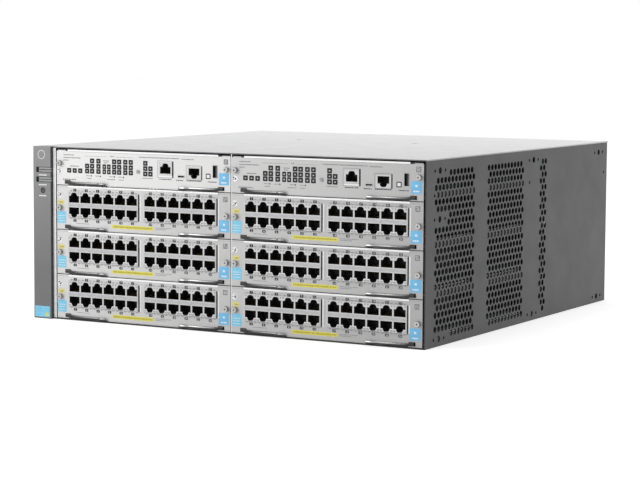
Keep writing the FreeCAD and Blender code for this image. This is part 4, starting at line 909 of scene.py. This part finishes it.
def interface_print(seed):
    """Numbers, lamp marks, labels and seals on an interface module's face."""
    shape = Shape()
    for number, (left, right) in enumerate(BLOCKS):
        for column, x in enumerate(port_columns((left, right))):
            odd = 12 * number + 2 * column + 1
            number_at(shape, odd, x, 40.1)
            number_at(shape, odd + 1, x, 9.5)
            for inner, z, turn, tall in ((3.4, 39.5, 0, 0.7), (3.6, 11.0, 9, 0.6)):
                rows = [(x - 5.6, x - inner, z), (x + inner, x + 5.6, z)]
                bars(shape, rows, INK_SOFT, seed + turn + column, 0, 0.5, tall)
        # A dark line under each block is painted shadow; the near-white strip at its right is a painted
        # highlight.
        mark(shape, left, right, BLOCK_LOW - 0.55, BLOCK_LOW - 0.15, INK_AND_SHADE)
        mark(shape, right + 0.7, right + 2.3, BLOCK_LOW, BLOCK_HIGH, LIP_HIGHLIGHT, 0.05)
    shape.prism(round_ring(67.7, 117.0, 3.7, 7.3, 0.4), -0.06, 0.0, YELLOW)
    bars(shape, [(69.0, 115.5, 5.5)], OLIVE, seed + 1, -0.07, 0.6, 1.5)
    bars(shape, [(119.5, 138.5, 6.6), (119.5, 132.0, 5.1)], INK_SOFT, seed + 2, 0, 0.5, 0.6)
    bars(shape, [(24.0, 40.0, 6.6)], INK_SOFT, seed + 3, 0, 0.5, 0.5)
    blue_label(shape, 0.6, 11.3, 6.2, 18.2, seed + 4, BLUE_PALE)
    blue_label(shape, 193.3, 204.8, 6.2, 17.8, seed + 5, BLUE)
    shape.prism(round_ring(0.5, 9.2, 25.2, 29.9, 2.2), -0.06, 0.0, YELLOW_PALE)
    bars(shape, [(3.8, 7.8, 27.4)], OLIVE, seed + 6, -0.07, 0.4, 1.2)
    sticker(shape, 3.4, 34.9, 3.1, seed + 7)
    speckle(shape, 200.6, 38.0, 4.6, seed + 8)
    return shape.done("interface_print")


LAMPS_LOW = (15.4, 22.2, 29.0, 37.5, 43.6, 51.3, 58.4, 63.9, 70.4, 76.4, 83.8, 90.3)
LAMP_ROWS = (
    (14.7, LAMPS_LOW), (19.8, LAMPS_LOW[3:]), (25.1, (43.6, 51.3, 70.4, 76.4, 83.8, 90.3)),
    (24.8, (107.7,)), (19.6, (107.7, 113.7)), (14.3, (107.7, 113.7)),
)
LAMPS_NARROW = (58.4, 63.9)
RESET_HOLES = (42.6, 53.6, 70.7, 81.6)
LAN_X, LAN_Z = 131.3, 20.2
SERIAL_X, SERIAL_Z = 164.7, 16.8
USB_WINDOW = (185.8, 191.8, 12.8, 25.8)
CARD_WINDOW = (145.6, 153.6, 11.9, 14.5)
MANAGER_WINDOWS = [
    (LAN_X - 7.8, LAN_X + 7.8, LAN_Z - 6.2, LAN_Z + 6.2),
    (SERIAL_X - 7.8, SERIAL_X + 7.8, SERIAL_Z - 6.2, SERIAL_Z + 6.2), USB_WINDOW, CARD_WINDOW,
]
# Small print of a management face: rows of (left, right, height), then finish, gap and height
MANAGER_CAPTIONS = (
    ([(8.5, 21.5, 30.3), (8.5, 30.0, 27.5), (8.5, 14.5, 24.9), (16.5, 27.5, 19.2)], INK_SOFT, 0.4, 0.9),
    ([(36.0, 41.0, 10.0), (47.0, 52.0, 10.0), (64.5, 69.5, 10.0), (75.5, 80.5, 10.0)], INK_SOFT, 0.4, 0.7),
    ([(37.0, 43.0, 7.4), (62.0, 72.0, 7.2), (76.0, 82.0, 7.2), (104.0, 116.5, 10.0)], INK_SOFT, 0.4, 0.7),
    ([(57.0, 64.5, 25.6), (58.0, 63.0, 23.8), (66.0, 70.0, 30.4), (100.0, 148.0, 30.6),
      (150.0, 164.0, 30.2)], INK_SOFT, 0.6, 0.9),
    ([(124.0, 138.5, 9.8), (144.0, 152.5, 9.4), (156.0, 173.0, 9.4), (180.5, 191.0, 9.2)], INK_AND_SHADE, 0.5, 0.8),
    ([(7.5, 24.0, 5.6)], INK_SOFT, 0.5, 1.0),
)


def lamp(shape, x, z, wide):
    """A dark surround with a lit window in it."""
    shape.prism(pad_ring(x, z, wide / 2, 2.4, 0.5), -0.05, 0.0, INK_AND_SHADE)
    shape.prism(round_ring(x - 0.8, x + 0.8, z - 0.75, z + 0.65, 0.25, 2), -0.12, -0.04, WINDOW)


def manager_print(seed):
    """Lamp squares, rules, marks, labels and seals on a management face."""
    shape = Shape()
    for z, places in LAMP_ROWS:
        for x in places:
            lamp(shape, x, z, 4.4 if x in LAMPS_NARROW else 5.2)
    # Reset pinholes as discs of painted shade.
    for x in RESET_HOLES:
        shape.turned((x, -0.04, 10.0), [(0.75, 0), (0.75, 0.1)], RECESS_SHADE, 12)
    for number, (rows, finish, gap, tall) in enumerate(MANAGER_CAPTIONS):
        bars(shape, rows, finish, seed + number, 0, gap, tall)
    mark(shape, 34.0, 62.0, 29.6, 29.85, INK_SOFT, 0.03)
    mark(shape, 72.0, 94.0, 29.6, 29.85, INK_SOFT, 0.03)
    outline_at(shape, (122.0, 139.6, 11.2, 28.0), 0.35)
    outline_at(shape, (155.4, 173.4, 9.9, 24.4), 0.45)
    # Thicker dark lines on the right of the two socket frames: painted shade.
    mark(shape, 139.2, 140.8, 11.4, 27.6, INK_AND_SHADE, 0.06)
    mark(shape, 173.0, 174.2, 10.4, 24.0, INK_AND_SHADE, 0.06)
    mark(shape, 123.2, 139.0, 11.8, 13.2, PAPER)
    shape.prism(pad_ring(181.0, 14.6, 2.7, 2.6, 0.5), -0.05, 0.0, INK_AND_SHADE)
    shape.prism(pad_ring(181.0, 14.6, 1.7, 1.6, 0.3), -0.1, -0.04, PAPER)
    blue_label(shape, 193.3, 204.6, 6.6, 18.2, seed + 6, BLUE)
    speckle(shape, 201.2, 29.2, 4.8, seed + 7)
    sticker(shape, 3.6, 13.6, 3.0, seed + 9)
    return shape.done("manager_print")


def manager_jacks():
    """Shells and inserts of the management module's own sockets."""
    shape = Shape()
    for x, z, sign in ((LAN_X, LAN_Z, 1), (SERIAL_X, SERIAL_Z, -1)):
        start = z - sign * 4.9
        shape.plate(pad_ring(x, z, 7.75, 6.15, 0.4), [mouth_ring(x, start, sign)], -0.1, 0.4, SHELL,
                    rim=CAVITY)
        socket_inside(shape, x, start, sign, -0.1)
    usb = shrunk(USB_WINDOW, 0.6)
    shape.plate(box_ring(*shrunk(USB_WINDOW, 0.05)), [box_ring(*usb)], -0.3, 6.0, SHELL, rim=CAVITY)
    shape.box((usb[0], 5.6, usb[2]), (usb[1], 6.0, usb[3]), CAVITY)
    shape.box((188.6, 0.8, 14.2), (190.6, 5.8, 24.4), CAVITY, 0.1)
    for number in range(4):
        z = 15.6 + 2.5 * number
        shape.box((188.5, 1.0, z - 0.5), (188.62, 5.6, z + 0.5), GOLD)
    card = shrunk(CARD_WINDOW, 0.5)
    shape.plate(round_ring(*shrunk(CARD_WINDOW, 0.05), 0.5), [round_ring(*card, 0.4)], -0.2, 6.0, SHELL,
                rim=CAVITY)
    shape.box((card[0], 5.6, card[2]), (card[1], 6.0, card[3]), CAVITY)
    shape.box((147.2, 0.8, 13.0), (152.0, 5.8, 13.5), CAVITY)
    return shape.done("manager_jacks", 30)


SLOTS = [(column, row) for row in (2, 1, 0) for column in (0, 1)]


def make_modules():
    windows = [(left, right + BLOCK_SLOT, BLOCK_LOW, BLOCK_HIGH) for left, right in BLOCKS]
    carriers = [carrier_shape(MODULE_TALL, windows, 10.8, 22.0, finish).done("interface_carrier")
                for finish in INTERFACE_FACES]
    levers = (("left", lever_data(PIVOT_LEFT, 1, LEVER_LEFT)),
              ("right", lever_data(PIVOT_RIGHT, -1, LEVER_RIGHT)))

    def fit(body, column, row, carrier, jacks, solids, marks):
        """The pieces of one module: face, sockets, print and two levers."""
        corner = (COLUMN_START + COLUMN_PITCH * column, 0, ROW_START + ROW_PITCH * row)
        piece(f"{body}_face", carrier, body, corner, [f"{body}_carrier"])
        piece(f"{body}_sockets", jacks, body, corner, solids)
        piece(f"{body}_print", marks, body, corner)
        for side, data in levers:
            lever = f"{body}_lever_{side}"
            piece(f"{body}_grip_{side}", data, lever, corner, [lever])

    jacks = jacks_data()
    for number, (letter, (column, row)) in enumerate(zip("abcdef", SLOTS)):
        body = f"module_{letter}"
        fit(body, column, row, carriers[column], jacks, [f"{body}_jacks"], interface_print(31 * number))
    jacks = manager_jacks()
    for number, finish in enumerate(MANAGER_FACES):
        carrier = carrier_shape(MANAGER_TALL, MANAGER_WINDOWS, 9.4, 21.8, finish, 14.5)
        fit(f"manager_{number + 1}", number, MANAGER_ROW, carrier.done("manager_carrier"), jacks, (),
            manager_print(211 + 31 * number))


# Carried-over frame pieces, by a part of their names. The others are plain zinc

KEPT = (
    ("rear_screws", SCREW), ("bay_wall", STRIP), ("right_guides", GUIDE_AND_SHADE), ("backplane", BOARD),
    ("rotor", FAN), ("_fan", FAN), ("_board", BOARD), ("_case", SUPPLY), ("_latch", LATCH),
    ("_button", BUTTON),
)
# Where a board's heat sink, chips and plug start and end
BOARD_PARTS = ((89.0, 161.0, SINK), (31.0, 55.0, CHIP), (240.0, 265.0, CHIP))
MANAGER_BOARD_TOP = ROW_START + ROW_PITCH * MANAGER_ROW + 11.0
SUPPLY_LEFT = {"psu_1_case": 30.5, "psu_2_case": 232.5}
PIN_PLACES = (32.0, 40.0, 48.0)


def drawing_place(face):
    return face.center.x / MM + WIDTH / 2, face.center.y / MM + MIDDLE_Y, face.center.z / MM


def dress_socket_bodies(data):
    """Metal tops and dark sides for the sockets at a management board's front."""
    first = len(data.materials)
    for finish in (SHELL, CAVITY):
        data.materials.append(finish)
    for face in data.polygons:
        _, y, z = drawing_place(face)
        if y < 15.2 and z > MANAGER_BOARD_TOP + 0.1:
            face.material_index = first if face.normal.z > 0.5 else first + 1


def dress_board(name, data):
    """Heat sinks, chips and the plug that stand on a board, by their places along it."""
    top = MANAGER_BOARD_TOP
    if name.startswith("module"):
        top = ROW_START + ROW_PITCH * SLOTS["abcdef".index(name[7])][1] + BLOCK_LOW
    first = len(data.materials)
    for _, _, finish in BOARD_PARTS:
        data.materials.append(finish)
    for face in data.polygons:
        _, y, z = drawing_place(face)
        for number, (front, back, _) in enumerate(BOARD_PARTS):
            if front < y < back and z > top + 0.1:
                face.material_index = first + number


def dress_supply(name, data):
    """The dark insert of a mains inlet, round its bright pins."""
    data.materials.append(CAVITY)
    for face in data.polygons:
        x, y, z = drawing_place(face)
        x -= SUPPLY_LEFT[name]
        pin = y > 419.1 and 38.4 < z < 51.1 and min(abs(x - place) for place in PIN_PLACES) < 1.2
        if 24.9 < x < 55.1 and 418.5 < y < 436.8 and 30.9 < z < 53.1 and not pin:
            face.material_index = 1


def finish_kept():
    for name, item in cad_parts.items():
        item.data.materials.clear()
        item.data.materials.append(next((finish for part, finish in KEPT if part in name), ZINC))
        if name in SUPPLY_LEFT:
            dress_supply(name, item.data)
        if name.endswith("_board"):
            dress_board(name, item.data)
            if name.startswith("manager"):
                dress_socket_bodies(item.data)


# Stage, light and camera

WHITE = (1, 1, 1, 1)
WORLD_LEVEL = 0.6
FLOOR_LIFT = 0.45
FLOOR_REACH = 12.0
FLOOR_DROP = 0.0002
LAMPS = (
    ("key", (-0.95, -1.25, 0.85), 1.0, 10.0),
    ("top", (0.3, 0.6, 2.6), 2.4, 18.0),
)
LAMP_AIM = Vector((0, 0, 0.09))


def seen_rays(tree):
    """One where a camera, mirror or glass ray arrives, and nought elsewhere."""
    path = node(tree, "LightPath")
    seen = path.outputs["Is Camera Ray"]
    for ray in ("Is Glossy Ray", "Is Transmission Ray"):
        seen = math_node(tree, "MAXIMUM", seen, path.outputs[ray])
    return seen


def make_stage():
    """Pale floor, lifted to white where the camera sees it, so that the shadow stays."""
    floor = bpy.data.meshes.new("floor")
    ring = box_ring(-FLOOR_REACH, FLOOR_REACH, -FLOOR_REACH, FLOOR_REACH)
    floor.from_pydata([(x, y, 0) for x, y in ring], [], [(0, 1, 2, 3)])
    item = add_object("floor", floor)
    item.location.z = -FLOOR_DROP
    material, tree, shader, place = new_material("pale_floor")
    tint = mixed(tree, "MIX", noise(tree, place, 0.7, 3.0), (0.90, 0.90, 0.90, 1), (0.92, 0.92, 0.92, 1))
    set_inputs(shader, {"Base Color": tint, "Roughness": 0.9, "Specular IOR Level": 0.0})
    power = math_node(tree, "MULTIPLY", seen_rays(tree), FLOOR_LIFT)
    lift = node(tree, "Emission", Color=WHITE, Strength=power)
    both = set_inputs(node(tree, "AddShader"), {0: shader.outputs["BSDF"], 1: lift.outputs["Emission"]})
    output = next(n for n in tree.nodes if n.type == "OUTPUT_MATERIAL")
    set_inputs(output, {"Surface": both.outputs["Shader"]})
    floor.materials.append(material)


def make_light():
    """Pale even surroundings with two soft lamps, one in front and one above."""
    world = bpy.data.worlds.new("studio")
    bpy.context.scene.world = world
    world.use_nodes = True
    tree = world.node_tree
    tree.nodes.clear()
    plain, seen = (node(tree, "Background", Color=WHITE, Strength=strength).outputs["Background"]
                   for strength in (WORLD_LEVEL, 1.0))
    mix = set_inputs(node(tree, "MixShader"), {0: seen_rays(tree), 1: plain, 2: seen})
    node(tree, "OutputWorld", Surface=mix.outputs["Shader"])
    for name, place, size, power in LAMPS:
        data = bpy.data.lights.new(name, "AREA")
        data.shape = "DISK"
        data.size = size
        data.energy = power
        item = add_object(name, data)
        item.location = place
        item.rotation_mode = "QUATERNION"
        item.rotation_quaternion = (LAMP_AIM - Vector(place)).to_track_quat("-Z", "Y")


def make_camera():
    """Camera at the photo's own place, found from seven corners of the object."""
    azimuth, elevation, roll = (math.radians(a) for a in (29.313, 5.422, 0.322))
    target = Vector((-0.0135, 0, 0.07213))
    distance = 2.2339
    back = Vector((math.sin(azimuth) * math.cos(elevation), -math.cos(azimuth) * math.cos(elevation),
                   math.sin(elevation)))
    side = Vector((math.cos(azimuth), math.sin(azimuth), 0))
    up = back.cross(side)
    right = side * math.cos(roll) + up * math.sin(roll)
    above = up * math.cos(roll) - side * math.sin(roll)
    data = bpy.data.cameras.new("camera")
    data.sensor_width = 36.0
    data.lens = 118.04
    data.clip_start, data.clip_end = 0.05, 60
    item = add_object("camera", data)
    turn = Matrix((right, above, back)).transposed().to_4x4()
    item.matrix_world = Matrix.Translation(target + back * distance) @ turn
    bpy.context.scene.camera = item


make_camera()
make_stage()
make_light()
finish_kept()
make_shell()
make_cover()
make_bezel()
make_bezel_lights()
make_bezel_print()
make_bay_strip()
make_modules()

bpy.context.scene.view_settings.view_transform = "Standard"
